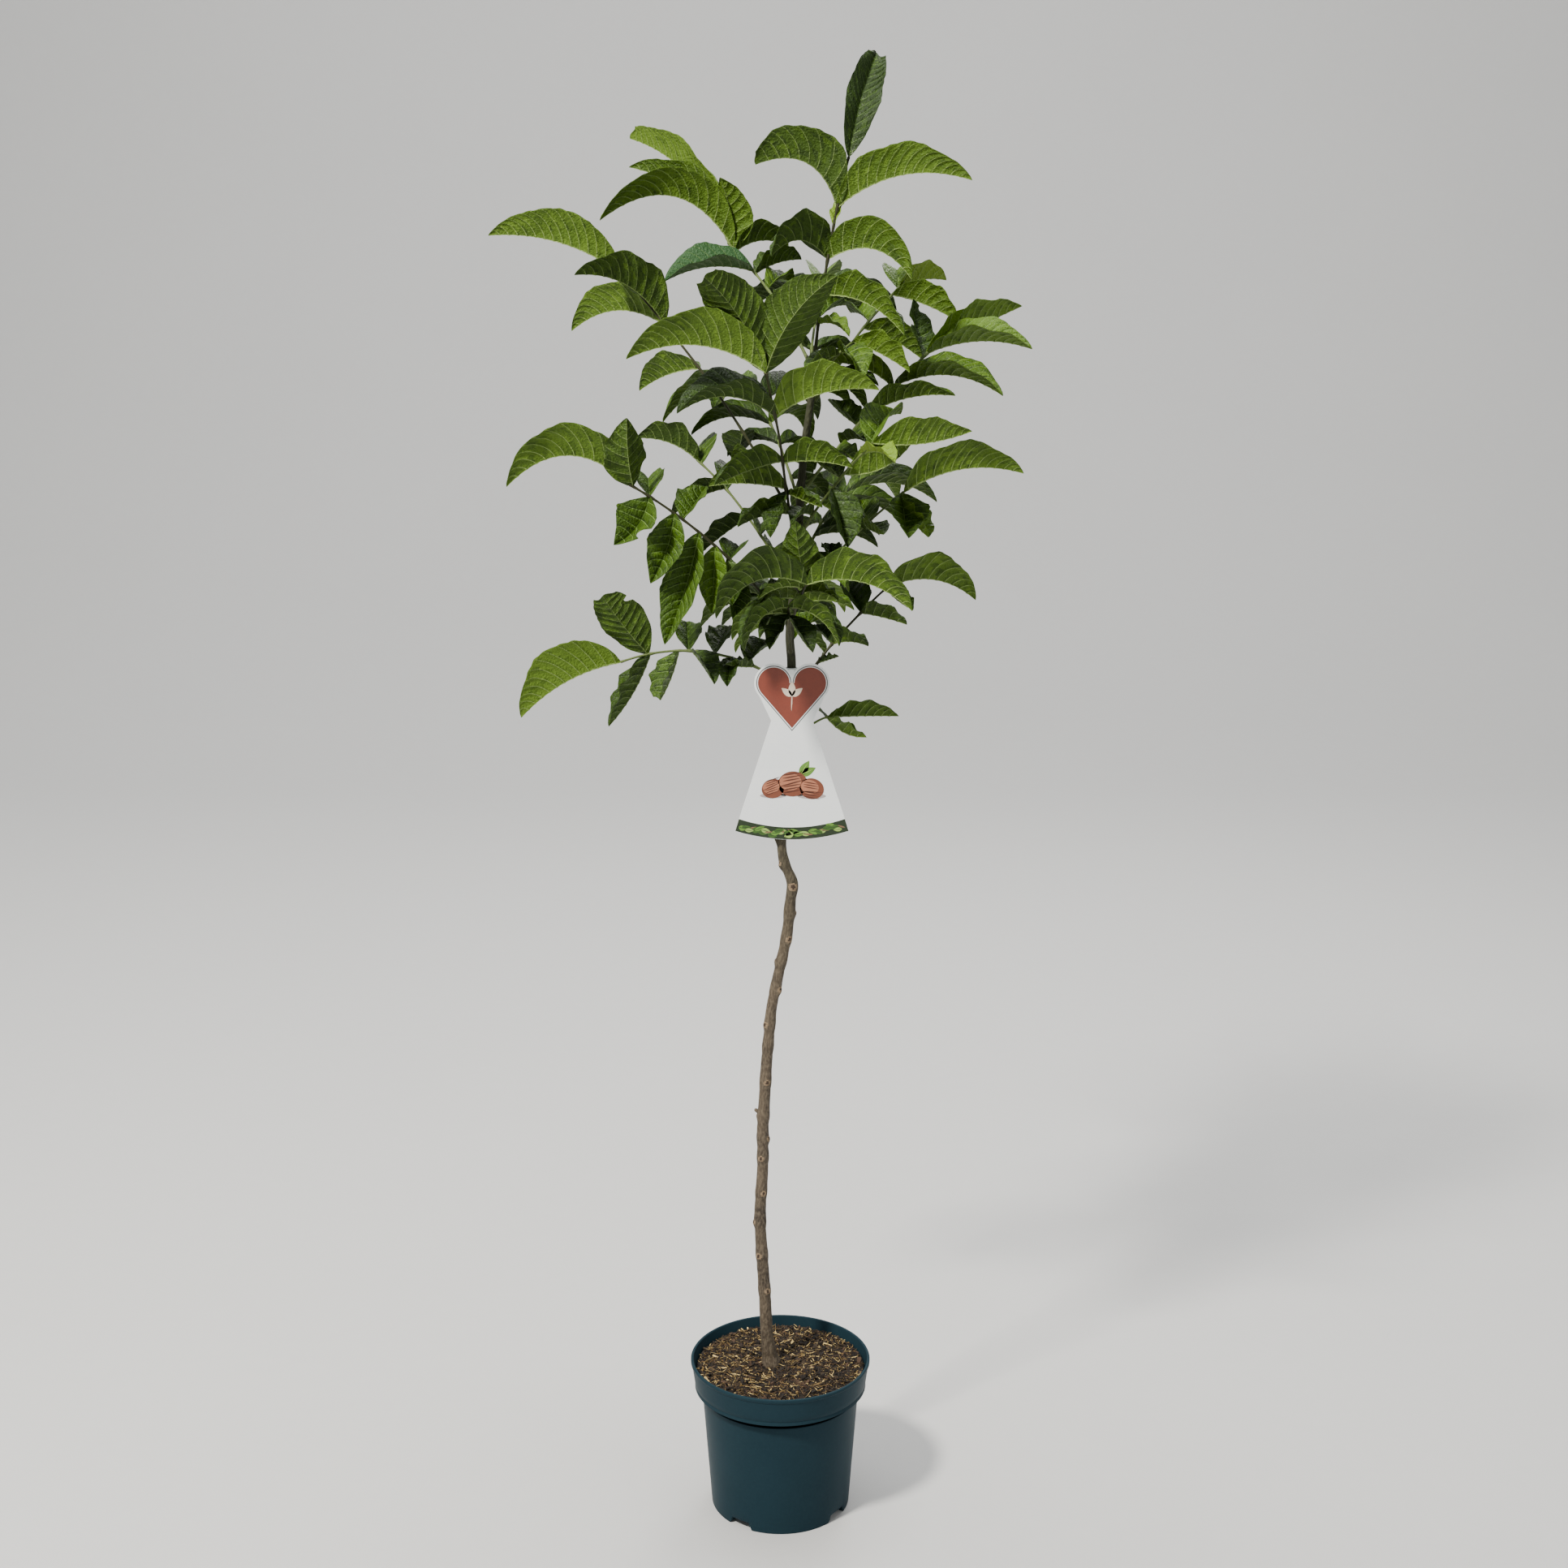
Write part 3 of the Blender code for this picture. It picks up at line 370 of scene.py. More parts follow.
def build_soil_bed():
    points = [(0.0, 0.0, soil_height(0.0, 0.0))]
    angles = [math.tau * side / SOIL_SIDES for side in range(SOIL_SIDES)]
    for ring in range(1, SOIL_RINGS + 1):
        for angle in angles:
            x = SOIL_EDGE_RADIUS * ring / SOIL_RINGS * math.cos(angle)
            y = SOIL_EDGE_RADIUS * ring / SOIL_RINGS * math.sin(angle)
            points.append((x, y, soil_height(x, y)))
    for radius, height in SOIL_SKIRT:
        points += [(radius * math.cos(angle), radius * math.sin(angle), height) for angle in angles]
    rows = SOIL_RINGS + len(SOIL_SKIRT) - 1
    faces = [(0, 1 + side, 1 + (side + 1) % SOIL_SIDES) for side in range(SOIL_SIDES)]
    faces += [tuple(1 + corner for corner in face) for face in flipped(ring_faces(rows, SOIL_SIDES))]
    faces.append(tuple(1 + rows * SOIL_SIDES + side for side in reversed(range(SOIL_SIDES))))
    finish = mottled_finish("soil_dark", SOIL_TONES, 0.9, shares=(0.7, 0.5), scales=(90.0, 520.0),
                            relief=0.0008)
    bed = made_piece("soil_bed", Body(points, faces, [0] * len(faces)), [finish], sharp=180.0)
    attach(bed, "root")
    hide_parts("soil")


def spot_on_soil(chance):
    """A place on the mix, clear of the stem's foot."""
    while True:
        radius = (SOIL_EDGE_RADIUS - RIM_CLEAR) * math.sqrt(chance.random())
        angle = chance.uniform(0.0, math.tau)
        x = radius * math.cos(angle)
        y = radius * math.sin(angle)
        if math.hypot(x - STEM_ASIDE, y) > STEM_CLEAR:
            return Vector((x, y, soil_height(x, y)))


def lying_turn(chance, tilt):
    """A rotation for a bit that lies on the mix, tipped up to so many degrees."""
    lean = Matrix.Rotation(math.radians(chance.gauss(0.0, tilt)), 3, "X")
    tip = Matrix.Rotation(math.radians(chance.gauss(0.0, tilt)), 3, "Y")
    return Matrix.Rotation(chance.uniform(0.0, math.tau), 3, "Z") @ lean @ tip


def build_chips(finishes):
    chance = random.Random(SOIL_SEED)
    body = Body([], [], [])
    for _ in range(CHIP_COUNT):
        length = min(chance.lognormvariate(*CHIP_LENGTH), CHIP_LONGEST)
        width = length * chance.uniform(*CHIP_WIDTH)
        thick = width * chance.uniform(*CHIP_THICKNESS)
        spot = spot_on_soil(chance) + Vector((0.0, 0.0, chance.uniform(*CHIP_LIFT)))
        turn = lying_turn(chance, CHIP_TILT)
        points = []
        for end in (-1, 1):
            taper = chance.uniform(0.35, 0.95)
            skew = chance.uniform(-0.3, 0.3)
            for across, up in ((-1, -1), (1, -1), (1, 1), (-1, 1)):
                corner = Vector((end * length / 2.0 * (1.0 + 0.2 * up * skew),
                                 (across * taper + skew) * width / 2.0, up * taper * thick / 2.0))
                points.append(spot + turn @ corner)
        add_part(body, points, CHIP_FACES, chance.choices(range(len(BITS)), CHIP_MIX)[0])
    chips = made_piece("soil_chips", body, finishes, sharp=30.0)
    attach(chips, "root")
    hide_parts("soil")


def build_fibres(finishes):
    chance = random.Random(SOIL_SEED + 1)
    body = Body([], [], [])
    fibre_faces = tube_faces(FIBRE_STEPS, FIBRE_SIDES)
    for _ in range(FIBRE_COUNT):
        length = min(chance.lognormvariate(*FIBRE_LENGTH), FIBRE_LONGEST)
        thick = chance.uniform(*FIBRE_THICKNESS)
        bend = chance.gauss(0.0, FIBRE_BEND) * length
        spot = spot_on_soil(chance)
        reach = SOIL_EDGE_RADIUS - math.hypot(spot.x, spot.y)
        length = min(length, 2.0 * reach + FIBRE_OVERHANG)
        spot.z += chance.uniform(*FIBRE_LIFT)
        turn = lying_turn(chance, FIBRE_TILT)
        points = []
        for step in range(FIBRE_STEPS + 1):
            share = step / FIBRE_STEPS
            centre = Vector(((share - 0.5) * length, bend * 4.0 * share * (1.0 - share), 0.0))
            taper = 1.0 if 0 < step < FIBRE_STEPS else 0.45
            for side in range(FIBRE_SIDES):
                angle = math.tau * side / FIBRE_SIDES
                ring = Vector((0.0, math.cos(angle) * thick, math.sin(angle) * thick * 0.6))
                points.append(spot + turn @ (centre + ring * taper))
        add_part(body, points, fibre_faces, chance.choices(range(len(BITS)), FIBRE_MIX)[0])
    fibres = made_piece("soil_fibres", body, finishes, sharp=80.0)
    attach(fibres, "root")
    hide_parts("soil")


def build_soil():
    build_soil_bed()
    finishes = [mottled_finish(name, toned(colour, 0.55, 1.6), 0.86, shares=(0.5, 0.35),
                               scales=(300.0, 1500.0), relief=0.0002) for name, colour in BITS]
    build_chips(finishes)
    build_fibres(finishes)


build_soil()

# Trunk. One thin young stem with grey-brown bark, green towards its tip and darker there, partly with
# painted shade; flared where it enters the mix. It leans and kinks, and keeps the scars of fallen leaves and
# a few dead stubs.
UP = Vector((0.0, 0.0, 1.0))
TRUNK_FOOT = 0.1773
TrunkStation = namedtuple("TrunkStation", "height lean radius")
TRUNK = tuple(TrunkStation(*row) for row in (
    (TRUNK_FOOT, STEM_ASIDE, 0.0125),
    (0.190, -0.013, 0.0088), (0.215, -0.016, 0.0073), (0.274, -0.019, 0.0070),
    (0.368, -0.024, 0.0070), (0.430, -0.021, 0.0066), (0.492, -0.020, 0.0068), (0.623, -0.011, 0.0063),
    (0.662, -0.004, 0.0062), (0.721, 0.008, 0.0063), (0.762, 0.012, 0.0063), (0.782, 0.014, 0.0061),
    (0.806, 0.005, 0.0056), (0.828, 0.002, 0.0052), (0.920, 0.009, 0.0050), (1.035, 0.013, 0.0050),
    (1.072, 0.011, 0.0048), (1.145, 0.018, 0.0046), (1.270, 0.026, 0.0043), (1.323, 0.033, 0.0039),
    (1.375, 0.038, 0.0032),
))
TRUNK_TOP = TRUNK[-1].height
TRUNK_SIDES = 56
TRUNK_RING = 0.0017
TRUNK_SUNK = 0.004
FLARE_TOP = 0.21
FLARE_TALL = 0.033
FLARE_SHARE = 0.10
FLARE_RIBS = 5.0
Scar = namedtuple("Scar", "height bearing size")
SCARS = tuple(Scar(*row) for row in (
    (0.276, -60, 1.0), (0.322, -120, 1.1), (0.364, 200, 1.0), (0.402, -70, 1.0), (0.446, -105, 1.0),
    (0.470, -20, 1.1), (0.498, 150, 1.0), (0.541, -75, 1.1), (0.585, 70, 1.0), (0.612, -140, 1.1),
    (0.655, -35, 1.1), (0.688, 160, 1.0), (0.716, -60, 1.2), (0.748, 20, 1.2), (0.779, -85, 1.5),
    (0.806, 200, 1.0), (0.842, -50, 0.9), (0.905, 110, 0.9), (0.958, -120, 0.9),
))
SCAR_SWELL = 0.00065
SCAR_NECK = 0.00025
SCAR_LEDGE = 0.0015
SCAR_TALL = 0.0052
SCAR_AROUND = 52.0
SHIELD_TALL = 0.0036
SHIELD_WIDE = 0.0034
SHIELD_HEART = 0.16
Stub = namedtuple("Stub", "height bearing rise length radius")
STUBS = (
    Stub(0.826, 190, 65, 0.016, 0.0024),
    Stub(1.352, 190, 80, 0.026, 0.0026),
    Stub(0.726, 60, 30, 0.009, 0.0026),
    Stub(0.500, 175, 35, 0.009, 0.0026),
)
# How thick a stub is along its length
STUB_SHAPE = ((0.0, 1.25), (0.25, 1.0), (0.5, 0.88), (0.75, 0.84), (0.93, 0.66), (1.0, 0.28))
# Ridges and pits of the bark: how many around, how many to a metre, and how tall
BARK_RELIEF = ((2.4, 26.0, 0.00042), (7.0, 90.0, 0.00022))
OLD_BARK_TOP = 1.05
OLD_BARK_FADE = 0.5
YOUNG_BARK_SHARE = 0.15
GREEN_AND_PAINTED_SHADE_FROM = 0.66
GREEN_AND_PAINTED_SHADE_FULL = 1.00
BARK_PLAIN = (0.12, 0.09, 0.06)
# Each tone of the bark low on the stem, and where it has turned green and darker, the darkening partly
# painted shade
BARK_TONES = (("Colour", (0.078, 0.057, 0.036, 1.0), (0.024, 0.026, 0.009, 1.0)),
              ("Dark", (0.019, 0.013, 0.008, 1.0), (0.008, 0.008, 0.003, 1.0)),
              ("Light", (0.220, 0.175, 0.118, 1.0), (0.052, 0.056, 0.019, 1.0)))
SCAR_TONES = ((0.22, 0.150, 0.085), (0.070, 0.045, 0.026), (0.34, 0.26, 0.17))
HEART_TONES = ((0.035, 0.020, 0.012), (0.012, 0.008, 0.005), (0.080, 0.050, 0.030))


def heading(bearing):
    """The level direction of a bearing in degrees."""
    angle = math.radians(bearing)
    return Vector((math.cos(angle), math.sin(angle), 0.0))


def trunk_at(height):
    """Centre and radius of the trunk at a height, on a smooth line through its stations."""
    inside = min(max(height, TRUNK_FOOT), TRUNK_TOP)
    upper = max(next(index for index, station in enumerate(TRUNK) if station.height >= inside), 1)
    low = TRUNK[upper - 1]
    high = TRUNK[upper]
    before = TRUNK[max(upper - 2, 0)]
    beyond = TRUNK[min(upper + 1, len(TRUNK) - 1)]
    span = high.height - low.height
    share = (inside - low.height) / span
    slope_low = (high.lean - before.lean) / (high.height - before.height)
    slope_high = (beyond.lean - low.lean) / (beyond.height - low.height)
    cube = share * share * share
    square = share * share
    lean = (2 * cube - 3 * square + 1) * low.lean + (3 * square - 2 * cube) * high.lean
    lean += span * ((cube - 2 * square + share) * slope_low + (cube - square) * slope_high)
    radius = low.radius + (high.radius - low.radius) * share
    return Vector((lean, 0.0, height)), radius


def limb(path, radii, sides):
    """Points and faces of a closed round limb along a path."""
    points = []
    across = Vector((0.0, 1.0, 0.0))
    for index, centre in enumerate(path):
        along = (path[min(index + 1, len(path) - 1)] - path[max(index - 1, 0)]).normalized()
        across = (across - along * across.dot(along)).normalized()
        third = along.cross(across)
        for side in range(sides):
            angle = math.tau * side / sides
            ray = across * math.cos(angle) + third * math.sin(angle)
            points.append(centre + ray * radii[index])
    return points, tube_faces(len(path) - 1, sides)


def bark_swell(height, bearing):
    """How far the bark stands out of or into the round: ridges, pits and the ledges of old scars."""
    older = min(max((OLD_BARK_TOP - height) / OLD_BARK_FADE, YOUNG_BARK_SHARE), 1.0)
    angle = math.radians(bearing)
    swell = 0.0
    for around, along, tall in BARK_RELIEF:
        place = Vector((math.cos(angle) * around, math.sin(angle) * around, height * along))
        swell += noise.noise(place) * tall * older
    for scar in SCARS:
        up = (height - scar.height) / (SCAR_TALL * scar.size)
        if abs(up) > 3.2:
            continue
        swell += SCAR_SWELL * math.exp(-(up * 0.7) ** 2) - SCAR_NECK * math.exp(-((up + 1.9) * 1.6) ** 2)
        away = turn_between(bearing, scar.bearing) / SCAR_AROUND
        if away > 1.6:
            continue
        ledge = math.exp(-(up + 0.35) ** 2 * (1.6 if up < 0.1 else 5.5))
        swell += SCAR_LEDGE * scar.size * ledge * math.exp(-away * away * 1.8)
    return swell


def scar_here(point):
    """1 on the pale shield that a fallen leaf left on the bark, 2 on its dark heart, 0 elsewhere."""
    centre, radius = trunk_at(point.z)
    ray = point - centre
    bearing = math.degrees(math.atan2(ray.y, ray.x))
    for scar in SCARS:
        up = (point.z - scar.height) / (SHIELD_TALL * scar.size)
        away = math.radians(turn_between(bearing, scar.bearing)) * radius / (SHIELD_WIDE * scar.size)
        if up * up + away * away < 1.0 and up < 0.9 - 0.5 * away:
            return 2 if up * up + away * away < SHIELD_HEART else 1
    return 0


def bark_finish():
    """Bark that turns from grey-brown to a darker green up the stem; the darkening is partly painted shade
    from the tag and the crown.
    """
    finish, shader = plain_finish("trunk_bark", BARK_PLAIN, 0.8)
    mottle = lay_mottle(finish, shader, (0.75, 0.42), (48.0, 460.0), 0.0005, stretch=(1.0, 1.0, 0.42))
    tree = finish.node_tree
    place = fed_node(tree, "TexCoord", {})
    split = fed_node(tree, "SeparateXYZ", {"Vector": place.outputs["Object"]})
    # Up the stem the bark turns green and darker; the darkening is partly painted shade from the tag and the
    # crown
    green = ranged(tree, split.outputs["Z"], GREEN_AND_PAINTED_SHADE_FROM, GREEN_AND_PAINTED_SHADE_FULL)
    feed(tree, mottle, {label: mixed(tree, green, low, high) for label, low, high in BARK_TONES})
    feed(tree, shader, {"Base Color": mottle.outputs["Colour"]})
    return finish


def build_trunk():
    rise = TRUNK_TOP - TRUNK_FOOT
    rings = int(rise / TRUNK_RING)
    stations = [trunk_at(TRUNK_FOOT + rise * ring / rings) for ring in range(rings + 1)]
    points, faces = limb(*zip(*stations), TRUNK_SIDES)
    for place, point in enumerate(points):
        centre = stations[place // TRUNK_SIDES][0]
        ray = point - centre
        bearing = math.degrees(math.atan2(ray.y, ray.x))
        flare = 1.0
        if centre.z < FLARE_TOP:
            ribs = math.sin(math.radians(bearing) * FLARE_RIBS)
            flare += FLARE_SHARE * ribs * (FLARE_TOP - centre.z) / FLARE_TALL
        points[place] = centre + ray.normalized() * (ray.length * flare + bark_swell(centre.z, bearing))
    body = Body(points, faces, [scar_here((points[face[0]] + points[face[-2]]) / 2.0) for face in faces])
    for side in range(TRUNK_SIDES):
        points[side].z = TRUNK_FOOT - TRUNK_SUNK
    for stub in STUBS:
        foot, radius = trunk_at(stub.height)
        out = heading(stub.bearing)
        steep = math.radians(stub.rise)
        along = out * math.cos(steep) + UP * math.sin(steep)
        start = foot + out * radius * 0.5
        add_part(body, *limb([start + along * stub.length * share for share, _ in STUB_SHAPE],
                             [stub.radius * width for _, width in STUB_SHAPE], 14))
    looks = {"shares": (0.5, 0.4), "scales": (240.0, 900.0), "relief": 0.0003}
    finishes = [bark_finish(), mottled_finish("leaf_scar", SCAR_TONES, 0.8, **looks),
                mottled_finish("leaf_scar_heart", HEART_TONES, 0.85, **looks)]
    trunk = made_piece("trunk_stem", body, finishes, sharp=60.0)
    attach(trunk, "root")
    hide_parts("trunk")


build_trunk()

# Picture tag. A printed white plastic card with a rounded two-lobed head, hung in front of the stem
# from a strap that goes once round it; the print is a plain design with no lettering.
TAG_CENTRE = 0.0135
TAG_TOP = 1.039
TAG_LOBE_RADIUS = 0.022
TAG_LOBE_OFFSET = 0.0205
TAG_LOBE_END = -42.0
TAG_LOBE_STEPS = 26
TAG_WAIST_HEIGHT = 0.974
TAG_WAIST_HALF = 0.0235
TAG_CORNER_HEIGHT = 0.846
TAG_CORNER_HALF = 0.065
TAG_BOTTOM = 0.836
TAG_HEM_STEPS = 12
TAG_THICKNESS = 0.0008
TAG_FRONT = -0.0111
CARD_WHITES = ((0.86, 0.89, 0.90), (0.76, 0.80, 0.82), (0.93, 0.94, 0.94))
PRINT_LIFT = 0.00006
PRINT_SEED = 7
PRINT_INKS = (
    ("print_grey", (0.12, 0.125, 0.13)), ("print_terracotta", (0.205, 0.048, 0.030)),
    ("print_cream", (0.74, 0.62, 0.50)), ("print_soft_shade", (0.40, 0.35, 0.34)),
    ("print_shell_dark", (0.19, 0.058, 0.030)), ("print_shell", (0.42, 0.165, 0.092)),
    ("print_seam", (0.085, 0.024, 0.013)), ("print_leaf", (0.12, 0.26, 0.035)),
    ("print_leaf_pale", (0.30, 0.46, 0.10)), ("print_band", (0.016, 0.030, 0.010)),
    ("print_twig", (0.20, 0.12, 0.065)), ("print_leaf_deep", (0.045, 0.115, 0.016)),
)
(WHITE, GREY, TERRACOTTA, CREAM, SOFT_SHADE, SHELL_DARK, SHELL, SEAM, GREEN, GREEN_PALE, BAND, TWIG,
 GREEN_DEEP) = range(len(PRINT_INKS) + 1)
# The field in the head, from its outline in: inset, how much lower its point is, layer and ink
FIELDS = ((0.0022, 0.0035, 1, GREY), (0.0034, 0.0018, 2, WHITE), (0.0042, 0.0, 3, TERRACOTTA))
FIELD_POINT = 0.9655
SPRIG_HEIGHT = 1.002
SPRIG_LEAVES = ((90, 0.017), (38, 0.0150), (142, 0.0150))
SPRIG_STEM = (0.0, 1.004, 0.019, 0.0006, 268)
# Each nut's middle, height, size and lean; then the leaves over them, each with a pale rib
NUTS = ((0.001, 0.9010, 0.0170, 4), (-0.0215, 0.8955, 0.0130, 14), (0.0225, 0.8955, 0.0140, -16))
NUT_RIDGES = (-0.62, -0.42, -0.22, 0.18, 0.38, 0.58)
NUT_LEAF_ROOT = (0.009, 0.911)
NUT_LEAF_LEANS = (26, 58)
NUT_LEAF = ((0.020, 0.0048, 3, GREEN), (0.0185, 0.0004, 4, GREEN_PALE))
BAND_TALL = 0.0165
BAND_STEPS = 16
BAND_LEAVES = 34
BAND_MARGIN = 0.0042
STRAP_HEIGHT = 1.031
STRAP_TALL = 0.004
STRAP_THICK = 0.0011
STRAP_CLEAR = 0.0005
STRAP_ROUND = 0.0003
STRAP_SIDES = 72
TONGUE_HALF = 0.003
TONGUE_FOOT = 1.008
TONGUE_ROUND = 0.001


def head_curve(inset):
    """The right lobe of the card's head, from the notch between the lobes round to its side."""
    radius = TAG_LOBE_RADIUS - inset
    notch = math.acos(max(-TAG_LOBE_OFFSET / radius, -1.0))
    side = math.radians(TAG_LOBE_END)
    angles = [notch + (side - notch) * step / TAG_LOBE_STEPS for step in range(TAG_LOBE_STEPS + 1)]
    return [(TAG_LOBE_OFFSET + radius * math.cos(angle), TAG_TOP - TAG_LOBE_RADIUS + radius * math.sin(angle))
            for angle in angles]


def hem_drop(across):
    """How far the card's lower edge hangs under its corners at a distance from the middle."""
    share = 1.0 - abs(across) / TAG_CORNER_HALF
    return (TAG_CORNER_HEIGHT - TAG_BOTTOM) * (1.0 - (1.0 - share) ** 2)


def mirrored(half):
    """A closed outline from its right half, which starts and ends on the middle line."""
    return half + [(-across, height) for across, height in reversed(half) if across > 0.00001]


def card_outline():
    half = head_curve(0.0) + [(TAG_WAIST_HALF, TAG_WAIST_HEIGHT), (TAG_CORNER_HALF, TAG_CORNER_HEIGHT)]
    for step in range(1, TAG_HEM_STEPS + 1):
        across = TAG_CORNER_HALF * (1.0 - step / TAG_HEM_STEPS)
        half.append((across, TAG_CORNER_HEIGHT - hem_drop(across)))
    return mirrored(half)


def turned_outline(middle, height, lean, shape):
    """An outline round its own root, turned by lean in degrees and set at a place on the card."""
    turn = math.radians(lean)
    return [(middle + x * math.cos(turn) - z * math.sin(turn),
             height + x * math.sin(turn) + z * math.cos(turn)) for x, z in shape]


def round_patch(middle, height, wide, tall, lean=0.0, corners=28):
    angles = [math.tau * corner / corners for corner in range(corners)]
    return turned_outline(middle, height, lean, [
        (wide * math.cos(angle), tall * math.sin(angle)) for angle in angles])


def pointed_patch(middle, height, length, wide, lean, corners=14):
    """A pointed leaf shape that grows from a place in the direction of lean, in degrees."""
    shares = [(1, step / corners) for step in range(corners + 1)]
    shares += [(-1, step / corners) for step in range(corners - 1, 0, -1)]
    return turned_outline(middle, height, lean, [
        (length * share, side * wide * math.sin(math.pi * share ** 0.8) ** 0.9) for side, share in shares])


def band_outline():
    """The printed band along the hem: its top edge runs level with the hem's curve."""
    band_top = TAG_CORNER_HEIGHT + BAND_TALL * 0.8
    share = (TAG_WAIST_HEIGHT - band_top) / (TAG_WAIST_HEIGHT - TAG_CORNER_HEIGHT)
    narrowing = (TAG_WAIST_HALF + (TAG_CORNER_HALF - TAG_WAIST_HALF) * share) / TAG_CORNER_HALF
    lower = []
    upper = []
    for step in range(BAND_STEPS + 1):
        across = TAG_CORNER_HALF * (2.0 * step / BAND_STEPS - 1.0) * 0.995
        hem = TAG_CORNER_HEIGHT - hem_drop(across)
        lower.append((across, hem + 0.0002))
        upper.append((across * narrowing, hem + BAND_TALL * 0.86))
    return lower + upper[::-1]


def pressed(outline, front, back):
    """A flat plate from an outline, between two depths."""
    count = len(outline)
    points = [(TAG_CENTRE + across, depth, height) for depth in (front, back) for across, height in outline]
    area = sum(here[0] * after[1] - after[0] * here[1]
               for here, after in zip(outline, outline[1:] + outline[:1]))
    turn = 1 if area > 0 else -1
    faces = [tuple(range(count))[::turn], tuple(range(count, 2 * count))[::-turn]]
    for index in range(count):
        after = (index + 1) % count
        faces.append((index, index + count, after + count, after)[::turn])
    return points, faces


def nut_patches(middle, height, size, lean):
    """One printed nut: its soft shade, its dark rim, its face, its seam and the ridges on it."""
    patches = [
        (round_patch(middle, height - size * 0.62, size * 1.15, size * 0.22), 4, SOFT_SHADE),
        (round_patch(middle, height, size, size * 0.86, lean), 5, SHELL_DARK),
        (round_patch(middle - size * 0.16, height + size * 0.14, size * 0.74, size * 0.58, lean), 6, SHELL),
    ]
    seams = [(0.92, -0.2, 1.85, 0.05, 12), *[(0.7, ridge, 1.35, 0.045, 6) for ridge in NUT_RIDGES]]
    for back, up, long, wide, tip in seams:
        seam = pointed_patch(middle - size * back, height + size * up, size * long, size * wide, tip + lean)
        patches.append((seam, 7, SEAM))
    return patches


def tag_print(chance):
    """Each printed patch as (outline, layer, ink), from the lowest layer up."""
    patches = [(mirrored(head_curve(inset) + [(0.0, FIELD_POINT - lower)]), layer, ink)
               for inset, lower, layer, ink in FIELDS]
    for lean, length in SPRIG_LEAVES:
        patches.append((pointed_patch(0.0, SPRIG_HEIGHT, length, length * 0.24, lean), 4, CREAM))
    patches.append((pointed_patch(*SPRIG_STEM), 4, CREAM))
    for nut in NUTS:
        patches += nut_patches(*nut)
    for lean in NUT_LEAF_LEANS:
        for length, wide, layer, ink in NUT_LEAF:
            patches.append((pointed_patch(*NUT_LEAF_ROOT, length, wide, lean), layer, ink))
    patches.append((band_outline(), 1, BAND))
    for number in range(BAND_LEAVES):
        across = (number / (BAND_LEAVES - 1.0) * 2.0 - 1.0) * (TAG_CORNER_HALF - BAND_MARGIN)
        height = TAG_CORNER_HEIGHT - hem_drop(across) + chance.uniform(0.0042, 0.0098)
        lean = chance.uniform(-24, 24) + (180 if across > 0.0 else 0)
        ink = (GREEN, GREEN_DEEP, GREEN_PALE, TWIG, GREEN_DEEP)[number % 5]
        wide = 0.0009 if ink == TWIG else chance.uniform(0.0022, 0.0036)
        length = chance.uniform(0.0095, 0.0130)
        layer = 2 + 2 * (number % 3)
        patches.append((pointed_patch(across, height, length, wide, lean), layer, ink))
        if ink != TWIG:
            patches.append((pointed_patch(across, height, length * 0.95, 0.0003, lean), layer + 1, BAND))
    return patches


def strap_body():
    """The strap round the stem, and the tongue that the card hangs from."""
    centre, radius = trunk_at(STRAP_HEIGHT)
    inner = radius + STRAP_CLEAR
    outer = inner + STRAP_THICK
    loop = ((inner, -0.46), (inner + STRAP_ROUND, -0.5), (outer - STRAP_ROUND, -0.5), (outer, -0.46),
            (outer, 0.46), (outer - STRAP_ROUND, 0.5), (inner + STRAP_ROUND, 0.5), (inner, 0.46))
    points = [centre + heading(360.0 * side / STRAP_SIDES) * reach + UP * (rise * STRAP_TALL)
              for side in range(STRAP_SIDES) for reach, rise in loop]
    faces = [tuple(corner % len(points) for corner in face)
             for face in flipped(ring_faces(STRAP_SIDES, len(loop)))]
    strap = Body([], [], [])
    add_part(strap, points, faces)
    top = STRAP_HEIGHT + STRAP_TALL / 2.0 - 0.0004
    side = [(TONGUE_HALF, top), (TONGUE_HALF, TONGUE_FOOT + TONGUE_ROUND),
            (TONGUE_HALF - TONGUE_ROUND, TONGUE_FOOT)]
    tongue = [(-across, height) for across, height in side] + side[::-1]
    tongue = [(centre.x + across - TAG_CENTRE, height) for across, height in tongue]
    add_part(strap, *pressed(tongue, TAG_FRONT + TAG_THICKNESS * 0.5, -inner - STRAP_THICK * 0.4))
    return strap


def build_tag():
    card = mottled_finish("tag_white", CARD_WHITES, 0.34, shares=(0.35, 0.2), scales=(34.0, 400.0),
                          relief=0.00003)
    inks = [mottled_finish(name, toned(colour, 0.72, 1.25), 0.34, shares=(0.4, 0.25), scales=(120.0, 900.0),
                           relief=0.00001) for name, colour in PRINT_INKS]
    plate = Body([], [], [])
    add_part(plate, *pressed(card_outline(), TAG_FRONT, TAG_FRONT + TAG_THICKNESS))
    tag = made_piece("tag_card", plate, [card], sharp=30.0)
    printed = Body([], [], [])
    for outline, layer, ink in tag_print(random.Random(PRINT_SEED)):
        front = TAG_FRONT - PRINT_LIFT * layer
        add_part(printed, *pressed(outline, front, TAG_FRONT + TAG_THICKNESS * 0.3), ink)
    tag_ink = made_piece("tag_print", printed, [card, *inks], sharp=30.0)
    strap = made_piece("tag_strap", strap_body(), [card], sharp=40.0)
    for piece in (tag, tag_ink, strap):
        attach(piece, "root")
        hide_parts("tag")


build_tag()

